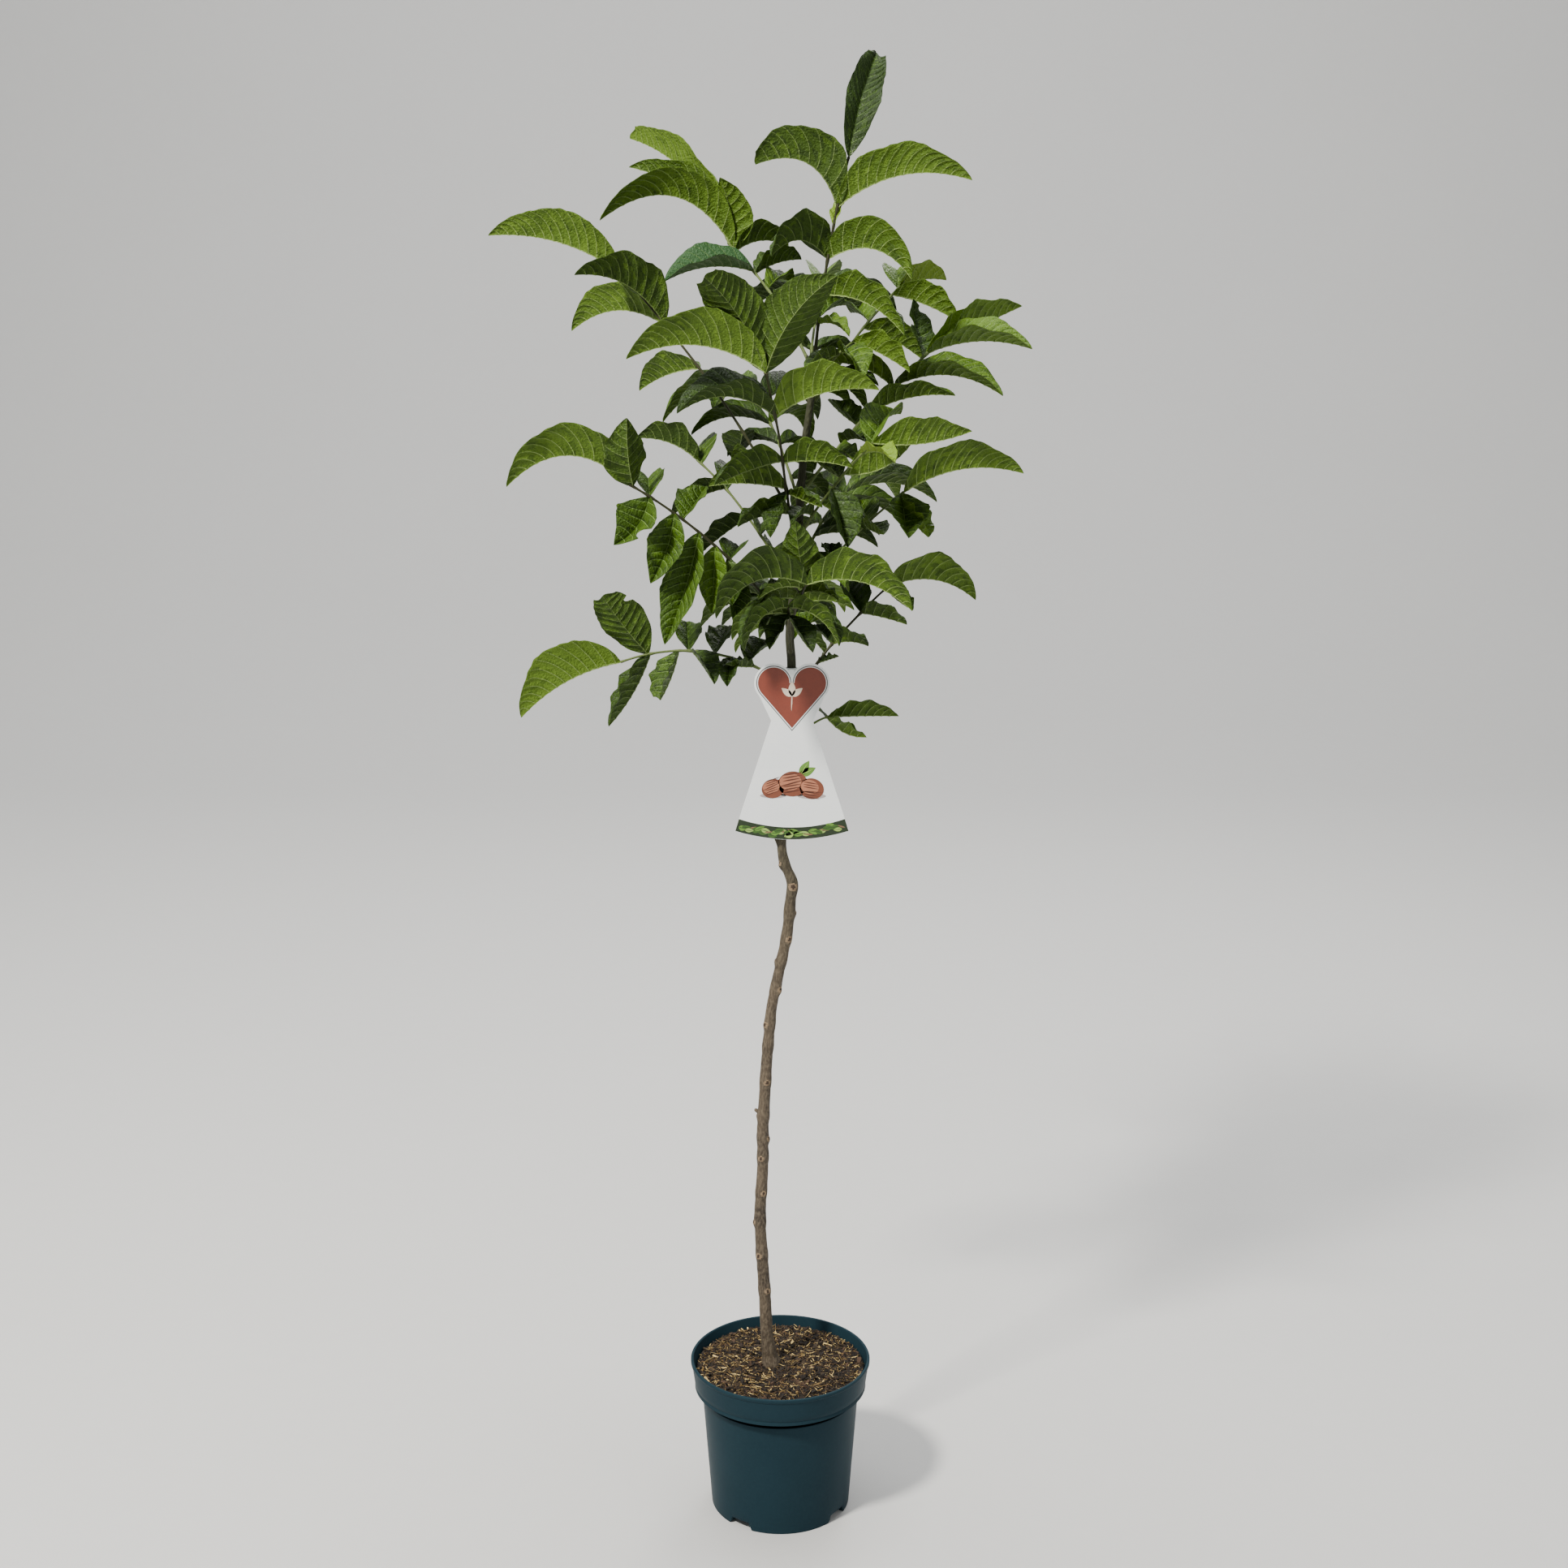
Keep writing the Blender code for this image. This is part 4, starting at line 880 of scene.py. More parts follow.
# Compound leaves. Each is a tough green stalk that carries pairs of leaflets and one at its end; it
# grows from a swollen foot on the trunk and bows under its own weight. Sizes are in centimetres.
CM = 0.01
GAP = 0.0003
STALK_FOOT_RADIUS = 0.0030
STALK_RADIUS = 0.0016
STALK_TIP_RADIUS = 0.0012
STALK_SIDES = 5
STALK_STEPS = 5
RIM_STEPS = 8
BLADE_THICK = 0.0018
BLADE_STEPS = 6
SMALL_BLADE_STEPS = 4
SMALL_BLADE = 7.8
BLADE_ROOT = 0.0016
BLADE_TIP = 0.0010
BLADE_LEAN = 0.86
BLADE_FULL = 0.8
ROOT_SINK = 0.3
CLEAR_SWELL = 0.0016
CLEAR_LIFTS = (0.0, 1.2, -1.2, 2.4, -2.4)
CLEAR_SWINGS = (0.0, 7.0, -7.0, 14.0, -14.0, 22.0, -22.0)
Leaf = namedtuple("Leaf", "name height bearing out rise bow leaflets")
Leaflet = namedtuple("Leaflet", "place bearing out rise arch width turn fold", defaults=(42,))
LEAVES = tuple(Leaf(*sizes, tuple(Leaflet(*row) for row in rows)) for *sizes, rows in (
    ("leaf_top", 137.8, 5, 3.6, 21.0, 0.4, (
        (1.00, 62, 7.0, 11.85, 2.8, 4.4, 42, 30), (0.75, 185, 9.2, 4.2, 6.4, 7.6, 30),
        (0.75, -6, 14.4, 2.7, 5.3, 7.0, -30), (0.49, 215, 7.4, 0.2, 4.9, 6.4, 30),
        (0.49, -25, 9.8, -2.2, 5.4, 6.8, -30), (0.31, -40, 11.2, -4.2, 4.2, 6.0, -30),
        (0.31, 235, 8.4, -2.6, 3.0, 5.6, 25), (0.66, 60, 2.6, 3.0, 0.8, 1.8, 0),
    )),
    ("leaf_upper_back", 136.6, 128, 15.0, 13.5, 1.0, (
        (1.00, 142, 15.6, 12.4, 5.4, 6.4, 30), (0.98, 172, 11.6, 8.6, 4.8, 6.4, 30),
        (0.95, 194, 15.2, 2.8, 7.4, 7.2, 20), (0.94, 235, 2.6, 7.6, 1.6, 5.0, 0, 22),
        (0.92, 25, 6.6, 0.6, 3.2, 5.2, -20), (0.72, 195, 10.2, -1.2, 3.6, 5.8, -20),
        (0.70, 30, 6.0, 1.6, 2.4, 5.0, -10),
    )),
    ("leaf_upper_left", 119.9, 163, 20.4, 27.0, 1.2, (
        (1.00, 177, 14.4, 3.8, 4.8, 7.6, 25), (0.77, 215, 11.2, 5.0, 5.0, 7.0, 25),
        (0.76, 150, 12.8, -0.6, 5.2, 7.0, 25), (0.58, 138, 9.6, -2.6, 3.0, 5.4, 20),
        (0.52, 280, 3.6, -2.4, 1.2, 3.2, 10), (0.33, 100, 6.6, -3.6, 1.2, 5.0, 0),
    )),
    ("leaf_front", 115.5, 255, 12.0, 20.6, 1.0, (
        (1.00, 186, 14.4, 1.4, 5.8, 8.0, 25), (1.00, 214, 7.8, 9.8, 4.0, 6.2, 55, 26),
        (1.00, -34, 8.6, 9.6, 4.4, 6.4, -50, 28), (0.76, 196, 10.6, 0.4, 4.7, 7.0, -10),
        (0.76, -14, 11.2, 2.8, 4.4, 7.4, -20), (0.52, 202, 7.8, -2.4, 2.8, 5.8, 20),
        (0.51, -22, 8.0, -0.4, 3.0, 5.8, -20), (0.37, 172, 8.6, 0.2, 3.4, 6.4, 25),
        (0.36, 240, 3.6, -4.8, 1.4, 4.4, 20), (0.24, 208, 6.4, -1.2, 2.6, 5.0, 15),
        (0.35, -35, 4.6, -1.4, 1.2, 3.2, -10),
    )),
    ("leaf_mid_left", 108.5, 195, 17.4, 15.6, 1.2, (
        (1.00, 184, 13.2, -0.2, 6.6, 7.6, 20), (0.98, 258, 2.0, 7.4, 1.6, 5.4, 40, 24),
        (0.89, 95, 6.2, 1.6, 2.0, 4.8, 0), (0.89, 215, 4.6, -5.0, 2.2, 6.4, -38),
        (0.75, 225, 3.6, -7.4, 2.0, 5.4, -38), (0.70, 65, 5.6, 3.2, 1.4, 4.6, 0),
        (0.60, 218, 4.8, -12.0, 2.4, 5.8, -36), (0.50, 262, 2.4, -7.2, 1.2, 4.4, 0),
        (0.42, 300, 3.0, -9.0, 1.2, 4.0, 0), (0.40, 80, 5.0, 1.0, 1.6, 4.4, 0),
        (0.28, 248, 4.4, -2.6, 1.8, 4.4, 10),
    )),
    ("leaf_low_left", 101.4, 174, 18.8, 2.2, 2.4, (
        (1.00, 186, 11.4, -6.2, 5.4, 9.0, 25, 48), (0.84, 206, 5.6, 7.3, 2.6, 6.0, 50, 22),
        (0.83, 212, 5.4, -7.8, 1.8, 5.4, 20), (0.66, 232, 3.4, -5.4, 1.6, 4.8, 15),
        (0.60, 95, 5.0, 2.6, 1.4, 4.2, 0), (0.58, -55, 4.6, -3.2, 1.8, 4.2, -10),
        (0.44, 75, 5.4, 2.4, 1.4, 4.2, 0), (0.34, 262, 3.0, -2.8, 1.0, 3.2, 0),
        (0.24, 60, 5.6, 1.6, 1.8, 4.6, 0), (0.20, 215, 3.8, 0.6, 0.8, 2.8, 0),
    )),
    ("leaf_low_right", 100.4, 28, 12.0, 11.4, 0.6, (
        (1.00, 8, 10.2, -1.8, 4.6, 6.6, -25), (0.98, 138, 8.0, 1.8, 2.2, 5.4, 10),
        (0.97, -50, 4.6, -2.0, 1.2, 3.4, -15), (0.72, 105, 6.0, 2.8, 1.6, 4.8, 0),
        (0.72, -28, 5.8, -1.0, 2.0, 4.2, -20), (0.42, -38, 5.0, 0.2, 2.0, 3.8, -15),
        (0.42, 115, 4.6, 1.6, 1.0, 3.4, 0), (0.25, 20, 2.6, 0.6, 0.6, 1.8, 0),
    )),
    ("leaf_mid_right", 110.9, 12, 12.0, 11.8, 0.6, (
        (1.00, 6, 13.6, 2.0, 4.6, 6.6, -25), (0.99, -84, 4.6, -4.6, 1.6, 6.4, -10),
        (0.95, -34, 4.2, -4.4, 1.6, 5.0, -10), (0.70, 100, 5.0, 2.0, 1.2, 4.4, 0),
        (0.66, -65, 4.6, -0.6, 1.4, 4.0, -10), (0.36, 95, 3.8, 1.2, 0.8, 3.2, 0),
        (0.34, -48, 4.8, -1.8, 2.0, 4.4, -10),
    )),
    ("leaf_upper_right", 123.6, 8, 13.4, 14.4, 0.4, (
        (1.00, -10, 11.4, 0.4, 3.6, 6.4, 10), (0.99, 26, 12.2, 5.2, 3.0, 6.2, -25),
        (0.97, 110, 3.2, 6.2, 1.0, 4.4, 30, 25), (0.74, -22, 12.4, -1.0, 4.0, 5.8, 10),
        (0.73, 180, 9.2, 2.2, 3.2, 5.6, 0), (0.53, -26, 10.2, 2.0, 2.4, 4.8, 0),
        (0.44, 130, 5.0, 2.6, 1.2, 4.2, 0),
    )),
    ("leaf_right", 118.6, -52, 12.0, 10.2, 0.5, (
        (1.00, 2, 10.4, 1.2, 2.2, 6.0, -30), (0.97, 62, 7.4, 3.0, 2.8, 5.2, 0),
        (0.86, -40, 4.4, -0.8, 2.2, 3.8, 10), (0.62, 6, 7.6, 3.6, 2.0, 6.6, -35),
        (0.58, 128, 4.4, 1.6, 1.2, 4.0, 0), (0.30, -20, 5.2, -2.8, 1.8, 4.6, -15),
        (0.46, -60, 3.2, -6.2, 1.8, 5.4, 0),
    )),
    ("leaf_upper_back_right", 132.8, 42, 13.0, 12.4, 0.6, (
        (1.00, 28, 6.2, 0.8, 2.6, 4.8, -20), (0.98, 88, 5.4, 2.2, 1.8, 4.6, 0),
        (0.92, -6, 7.4, -3.0, 2.8, 5.2, -25), (0.66, 108, 6.0, 1.0, 2.0, 4.8, 0),
        (0.60, 6, 6.6, -3.4, 2.6, 5.0, -20),
    )),
    ("leaf_top_right", 134.6, -30, 4.4, 4.6, 0.4, (
        (1.00, -12, 6.2, -3.2, 2.6, 5.2, -20), (0.72, -62, 4.2, -3.0, 2.4, 4.6, 0),
        (0.66, 216, 4.4, -2.2, 1.8, 4.0, 10),
    )),
    ("leaf_low_front", 108.2, 279, 10.4, 5.8, 0.6, (
        (1.00, 200, 10.2, -3.2, 5.7, 7.4, 25), (1.00, -18, 11.6, -2.4, 5.2, 7.6, -25),
        (0.97, 240, 2.4, 7.0, 1.2, 4.4, 20, 25),
    )),
    ("leaf_low_front_small", 105.2, 268, 7.0, 6.0, 0.4, (
        (1.00, 212, 5.6, -4.4, 3.4, 4.6, 20), (0.99, -32, 6.4, -3.8, 3.2, 4.6, -20),
        (0.82, 178, 6.2, -3.0, 2.8, 4.4, 10), (0.80, 240, 4.2, -3.4, 1.2, 3.6, 10),
        (0.76, -52, 4.2, -3.6, 1.2, 3.8, -10),
    )),
    ("leaf_lowest_right", 95.2, 18, 4.0, 2.2, 0.3, (
        (1.00, 10, 8.2, -0.2, 2.0, 4.2, -25), (0.96, -32, 5.2, -1.8, 0.8, 3.4, -20),
        (0.94, 80, 3.4, -0.8, 1.0, 3.0, 0),
    )),
    ("leaf_back_left", 112.4, 146, 12.6, 13.6, 1.0, (
        (1.00, 172, 7.0, 2.4, 3.2, 5.2, 25), (0.96, 96, 8.0, 1.0, 3.0, 5.4, 0),
        (0.74, 202, 6.4, -3.0, 2.6, 5.0, 15), (0.72, 80, 8.4, 0.4, 3.0, 5.4, 0),
        (0.50, 200, 6.0, -4.2, 2.2, 4.8, 15),
    )),
))
# Leaves at the back of the crown follow one rule: pairs of leaflets that shorten towards the trunk
BackLeaf = namedtuple("BackLeaf", "name height bearing out rise pairs length seed")
BACK_LEAVES = (
    BackLeaf("leaf_back_high", 130.6, 84, 12.0, 15.0, 3, 12.0, 3),
    BackLeaf("leaf_back_middle", 121.8, 112, 14.0, 11.0, 3, 12.5, 5),
    BackLeaf("leaf_back_right", 114.0, 62, 14.0, 8.6, 3, 12.0, 8),
    BackLeaf("leaf_back_low", 104.0, 96, 14.0, 5.0, 3, 11.5, 13),
)
BACK_BOW = 1.4
PAIR_SPREAD = 58.0
PAIR_FIRST_PLACE = 0.45
PAIR_LAST_PLACE = 0.86
PAIR_SHORTEST = 0.62
PAIR_WIDTH = 0.46
# Small leaflets that the rule adds on the bare inner stretch of a long stalk
INNER_NUMBER = 99
INNER_SPACING = 0.14
INNER_NEAREST = 0.12
INNER_REACH = 11.0
INNER_LENGTH = (4.6, 7.4)
INNER_SPREAD = (46.0, 72.0)
INNER_RISE = (-2.6, 0.4)
INNER_ARCH = 0.36
INNER_WIDTH = 0.56
# The stalks that are seen: rounder than the ones that the rule tests, a little wavy, thick at each joint
STALK_SEED = 23
FINE_SIDES = 12
FINE_STEPS = 46
FOOT_FADE = 22.0
FOOT_SINK = 0.0012
WAVE_TALL = 0.0007
JOINT_SWELL = 0.00045
JOINT_LONG = 0.022
BUD_LIFT = 0.0065
BUD_SINK = 0.0008
BUD_OUT = 0.0022
BUD_TALL = 0.0048
# How thick a bud is along its length
BUD_SHAPE = ((0.0, 0.0014), (0.2, 0.0019), (0.45, 0.0020), (0.7, 0.0015), (0.9, 0.0007), (1.0, 0.0002))
DARK_STALKS = ("leaf_front", "leaf_low_right", "leaf_mid_left", "leaf_upper_left", "leaf_low_front",
               "leaf_low_front_small", "leaf_top")
STALK_FINISHES = (
    ("stalk_green", ((0.090, 0.130, 0.034), (0.045, 0.062, 0.017), (0.20, 0.24, 0.085))),
    ("stalk_brown_green", ((0.028, 0.030, 0.011), (0.012, 0.013, 0.005), (0.070, 0.075, 0.028))),
)


def back_leaflets(leaf):
    """Leaflets of a back leaf: one at the tip, and pairs that shorten towards the trunk."""
    chance = random.Random(leaf.seed)
    leaflets = [Leaflet(1.0, leaf.bearing, leaf.length, -2.5, 4.0, leaf.length * PAIR_WIDTH, 0)]
    for pair in range(leaf.pairs):
        share = pair / (leaf.pairs - 1.0)
        place = PAIR_LAST_PLACE + (PAIR_FIRST_PLACE - PAIR_LAST_PLACE) * share
        size = leaf.length * (1.0 + (PAIR_SHORTEST - 1.0) * share)
        for side in (-1, 1):
            bearing = leaf.bearing + side * (PAIR_SPREAD + chance.uniform(-6, 6))
            drop = chance.uniform(-4.0, -1.0)
            arch = size * chance.uniform(0.32, 0.42)
            leaflets.append(Leaflet(place, bearing, size * 0.9, drop, arch, size * PAIR_WIDTH, -12 * side))
    return tuple(leaflets)


def bowed(start, run, bow, share):
    """A point on a bowed line; the bow is its greatest distance from the straight one."""
    return start + run * share + bow * (4.0 * share * (1.0 - share))


def stalk_frame(leaf):
    """Start, run and bow of a leaf's stalk, in metres."""
    centre, radius = trunk_at(leaf.height * CM)
    out = heading(leaf.bearing)
    run = (out * leaf.out + UP * leaf.rise) * CM
    bow = (UP * leaf.out - out * leaf.rise).normalized() * leaf.bow * CM
    if leaf.height * CM > TRUNK_TOP:
        return trunk_at(TRUNK_TOP)[0] + UP * GAP, run, bow
    start = centre + out * radius
    foot = stalk_tube(start, run, bow)[0][:STALK_SIDES]
    clearance = STALK_FOOT_RADIUS
    for here, after in zip(foot, foot[1:] + foot[:1]):
        for step in range(RIM_STEPS):
            point = here.lerp(after, step / RIM_STEPS)
            trunk_centre, trunk_radius = trunk_at(point.z)
            clearance = min(clearance, (point - trunk_centre).length - trunk_radius)
    return start + out * (GAP - clearance), run, bow


def stalk_tube(start, run, bow):
    places = [step / STALK_STEPS for step in range(STALK_STEPS + 1)]
    radii = [STALK_RADIUS + (STALK_TIP_RADIUS - STALK_RADIUS) * place for place in places]
    radii[0] = STALK_FOOT_RADIUS
    return limb([bowed(start, run, bow, place) for place in places], radii, STALK_SIDES)


def blade_arch(leaflet):
    """How far the midrib bows, less what the folded edges rise over it."""
    slant = math.radians(min(leaflet.fold + abs(leaflet.turn), 90))
    return leaflet.arch - leaflet.width / 2.0 * math.sin(slant)


def midrib_point(leaf, leaflet, share):
    """A point on a leaflet's midrib, from its root in the stalk to its tip."""
    root = bowed(*stalk_frame(leaf), leaflet.place)
    out = heading(leaflet.bearing)
    run = (out * leaflet.out + UP * leaflet.rise) * CM
    lift = (UP * leaflet.out - out * leaflet.rise).normalized() * blade_arch(leaflet) * CM
    return bowed(root, run, lift, share)


def blade_half_width(leaflet, share):
    """Half the width of the blade at a share of its length: widest just under the middle."""
    swell = math.sin(math.pi * share ** BLADE_LEAN) ** BLADE_FULL if 0.0 < share < 1.0 else 0.0
    end = BLADE_ROOT + (BLADE_TIP - BLADE_ROOT) * share
    return max(end, leaflet.width * CM / 2.0 * swell)


def blade_shell(leaf, leaflet, swell=0.0):
    """A leaflet as a thin keel, thickest at its midrib: two half blades that rise from it."""
    points = []
    fold = math.radians(leaflet.fold)
    length = math.hypot(leaflet.out, leaflet.rise)
    steps = SMALL_BLADE_STEPS if length < SMALL_BLADE else BLADE_STEPS
    sink = ROOT_SINK / length
    for step in range(steps + 1):
        share = step * (1.0 + sink) / steps - sink
        centre = midrib_point(leaf, leaflet, share)
        along = midrib_point(leaf, leaflet, share + 0.01) - midrib_point(leaf, leaflet, share - 0.01)
        along.normalize()
        side = Matrix.Rotation(math.radians(leaflet.turn), 3, along) @ heading(leaflet.bearing + 90.0)
        normal = along.cross(side).normalized()
        reach = blade_half_width(leaflet, share) + swell
        rise = normal * reach * math.sin(fold)
        middle = normal * (BLADE_THICK / 2.0 + swell)
        points += [centre + side * reach * math.cos(fold) + rise, centre + middle,
                   centre - side * reach * math.cos(fold) + rise, centre - middle]
    last = steps * 4
    return points, [*ring_faces(steps, 4), (0, 1, 2, 3), (last, last + 1, last + 2, last + 3)]


def tree_of(shell):
    """A search tree of a shell's points and faces, for finding what touches it."""
    return BVHTree.FromPolygons(*shell)


def clear_leaflet(leaf, leaflet, others):
    """The leaflet, swung or lifted a little where it would touch another node, or None."""
    for lift in CLEAR_LIFTS:
        for swing in CLEAR_SWINGS:
            tried = leaflet._replace(bearing=leaflet.bearing + swing, rise=leaflet.rise + lift)
            swollen = tree_of(blade_shell(leaf, tried, CLEAR_SWELL))
            if not any(swollen.overlap(other) for other in others):
                return tried
    return None


def inner_leaflets(leaf, first):
    """Small leaflets on the bare stretch of a stalk before its first leaflet, shaded by those farther out."""
    chance = random.Random(int(leaf.height * 10.0))
    leaflets = []
    if math.hypot(leaf.out, leaf.rise) < INNER_REACH:
        return leaflets
    place = first - INNER_SPACING
    while place > INNER_NEAREST:
        for side in (-1, 1):
            length = chance.uniform(*INNER_LENGTH)
            bearing = leaf.bearing + side * chance.uniform(*INNER_SPREAD)
            leaflets.append(Leaflet(place, bearing, length, chance.uniform(*INNER_RISE), length * INNER_ARCH,
                                    length * INNER_WIDTH, -10 * side))
        place -= INNER_SPACING * chance.uniform(0.9, 1.2)
    return leaflets


def grown_leaves():
    """Every leaf with its numbered leaflets where the rule lets them stand, clear of their neighbours."""
    leaves = list(LEAVES)
    leaves += [Leaf(back.name, back.height, back.bearing, back.out, back.rise, BACK_BOW, back_leaflets(back))
               for back in BACK_LEAVES]
    fixed = []
    for name in ("trunk", "tag"):
        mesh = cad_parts[name].data
        corners = [point.co for point in mesh.vertices]
        fixed.append(tree_of((corners, [face.vertices for face in mesh.polygons])))
    stalks = {leaf.name: tree_of(stalk_tube(*stalk_frame(leaf))) for leaf in leaves}
    blades = {leaf.name: [] for leaf in leaves}
    kept = {leaf.name: [] for leaf in leaves}

    def grow(leaf, numbered, own):
        others = fixed + own
        for name in stalks:
            if name != leaf.name:
                others += [stalks[name], *blades[name]]
        for number, leaflet in numbered:
            placed = clear_leaflet(leaf, leaflet, others + own)
            if placed is not None:
                blades[leaf.name].append(tree_of(blade_shell(leaf, placed)))
                kept[leaf.name].append((number, placed))

    for leaf in leaves:
        grow(leaf, enumerate(leaf.leaflets), [])
    for leaf in leaves:
        first = min(leaflet.place for _, leaflet in kept[leaf.name])
        grow(leaf, [(INNER_NUMBER, leaflet) for leaflet in inner_leaflets(leaf, first)], blades[leaf.name])
    return [(leaf, kept[leaf.name]) for leaf in leaves]


def build_stalks(grown):
    """Stalks with a swollen foot, a slight joint at each pair, and a bud over the foot."""
    body = Body([], [], [])
    chance = random.Random(STALK_SEED)
    for leaf, kept in grown:
        out = heading(leaf.bearing)
        aside = heading(leaf.bearing + 90.0)
        sway = chance.uniform(0.0, math.tau)
        stalk_line = stalk_frame(leaf)
        path = []
        radii = []
        for step in range(FINE_STEPS + 1):
            place = step / FINE_STEPS
            wave = aside * WAVE_TALL * math.sin(sway + place * 11.0) * math.sin(math.pi * place)
            path.append(bowed(*stalk_line, place) + wave)
            radius = STALK_RADIUS + (STALK_TIP_RADIUS - STALK_RADIUS) * place
            radius += (STALK_FOOT_RADIUS - STALK_RADIUS) * math.exp(-place * FOOT_FADE)
            for _, leaflet in kept:
                radius += JOINT_SWELL * math.exp(-((place - leaflet.place) / JOINT_LONG) ** 2)
            radii.append(radius)
        path[0] = path[0] - out * FOOT_SINK
        add_part(body, *limb(path, radii, FINE_SIDES), int(leaf.name in DARK_STALKS))
        if leaf.height * CM > TRUNK_TOP:
            continue
        foot, trunk_radius = trunk_at(leaf.height * CM + BUD_LIFT)
        base = foot + out * (trunk_radius - BUD_SINK)
        tip = base + out * BUD_OUT + UP * BUD_TALL
        bud = limb([base.lerp(tip, share) for share, _ in BUD_SHAPE], [width for _, width in BUD_SHAPE], 10)
        add_part(body, *bud, 1)
    finishes = [mottled_finish(name, tones, 0.5, shares=(0.5, 0.3), scales=(60.0, 500.0), relief=0.0001,
                               shine=0.2) for name, tones in STALK_FINISHES]
    stalks = made_piece("leaf_stalks", body, finishes, sharp=60.0)
    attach(stalks, "root")
    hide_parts(*[leaf.name for leaf, _ in grown])


leaves_grown = grown_leaves()
build_stalks(leaves_grown)

# Leaflets. Thin smooth-edged blades folded up from a strong midrib, with arched side veins that stand
# out pale underneath and sunk on top; old ones are deep green, young ones yellow green and softer.
LEAFLET_SEED = 5
VEIN_SPACING = 0.0108
FEWEST_VEINS = 5
VEIN_HALF = 0.037
VEIN_TAPER = 0.55
VEIN_SLANT = 0.185
VEIN_START = 0.55
VEIN_END = 0.75
ROOT_ROW = 0.018
LAST_VEIN_ROW = 0.985
TIP_ROW = 0.988
VEIN_BULGES = ((0.22, 0.6), (0.5, 1.0), (0.78, 0.6))
MIDRIB_HALF = 0.00062
LEAF_THICK = 0.00042
QUILT = 0.0013
NET_RELIEF = 0.0006
RIDGE = 0.00042
MIDRIB_DEEP = 0.0009
EDGE_SWAY = (0.0010, 0.0030)
EDGE_WAVES = (2.2, 3.8)
TWIST = 7.0
CLOUDS = 5
CLOUD_LEVEL = 2.3
# How often a face takes a step of painted shade in the crease before a vein, and a step of painted highlight
# on the crest after it
PAINTED_CREASE_SHADE_SHARE = 0.55
PAINTED_CREST_HIGHLIGHT_SHARE = 0.22
SPECKLE_SHARE = 0.08
HALF_COLUMNS = (0.0, 0.04, 0.13, 0.26, 0.40, 0.55, 0.70, 0.84, 0.94, 1.0)
# Tissue colours run from deep to young in small steps, so that a blade can be patchy; blue stands alone. The
# darker and lighter steps also serve as painted shade and painted sunlight on whole leaflets.
TONES = ("deep", "shaded", "mid", "fresh", "bright", "young", "blue")
YOUNG, BLUE = 5, 6
TONE_MIX = (18, 30, 28, 18, 6)
# Each side of a blade: its name, tissue colours, gloss, and its vein on deep tissue and on the rest; the
# tissue colours carry painted shade and painted sunlight too
SIDES = (
    ("upper", ((0.013, 0.030, 0.0018), (0.023, 0.050, 0.0025), (0.036, 0.075, 0.0038), (0.053, 0.106, 0.0058),
               (0.080, 0.150, 0.0095), (0.170, 0.280, 0.022), (0.027, 0.078, 0.022)), (0.48, 0.22),
     (("deep", (0.075, 0.135, 0.027)), ("light", (0.155, 0.245, 0.060)))),
    ("under", ((0.022, 0.045, 0.003), (0.034, 0.067, 0.004), (0.050, 0.095, 0.006), (0.068, 0.124, 0.009),
               (0.092, 0.162, 0.013), (0.185, 0.280, 0.030), (0.046, 0.098, 0.022)), (0.60, 0.2),
     (("deep", (0.115, 0.165, 0.042)), ("light", (0.190, 0.265, 0.072)))),
)
GROUPS = (
    ("leaflets_top", ("leaf_top", "leaf_upper_right", "leaf_top_right", "leaf_upper_back_right")),
    ("leaflets_left", ("leaf_upper_back", "leaf_upper_left", "leaf_mid_left")),
    ("leaflets_front", ("leaf_front", "leaf_low_front", "leaf_low_front_small", "leaf_right")),
    ("leaflets_low", ("leaf_low_left", "leaf_low_right", "leaf_lowest_right", "leaf_mid_right")),
    ("leaflets_back", ("leaf_back_left", "leaf_back_high", "leaf_back_middle", "leaf_back_right",
                       "leaf_back_low")),
)
# Torn or bitten edges, by leaf and leaflet number: place along the blade, side, depth and half length
BITES = {
    ("leaf_front", 1): ((0.66, -1, 0.22, 0.04),),
    ("leaf_upper_left", 2): ((0.80, -1, 0.5, 0.06),),
    ("leaf_low_left", 1): ((0.78, 1, 0.3, 0.04),),
    ("leaf_mid_left", 3): ((0.62, 1, 0.6, 0.10),),
    ("leaf_upper_right", 1): ((0.66, 1, 0.45, 0.05),),
    ("leaf_upper_right", 2): ((0.60, 1, 0.75, 0.09), (0.84, -1, 0.4, 0.06)),
    ("leaf_right", 0): ((0.80, 1, 0.5, 0.05),),
    ("leaf_mid_right", 1): ((0.78, -1, 0.6, 0.06),),
}
# Blunt or broken tips, by leaf and leaflet number: how far along its outline the blade goes on
BLUNT = {
    ("leaf_top", 0): 0.84, ("leaf_top", 1): 0.90, ("leaf_upper_back", 0): 0.86, ("leaf_front", 1): 0.87,
    ("leaf_low_left", 1): 0.84, ("leaf_low_left", 3): 0.88, ("leaf_mid_left", 2): 0.88,
    ("leaf_mid_right", 2): 0.88,
}
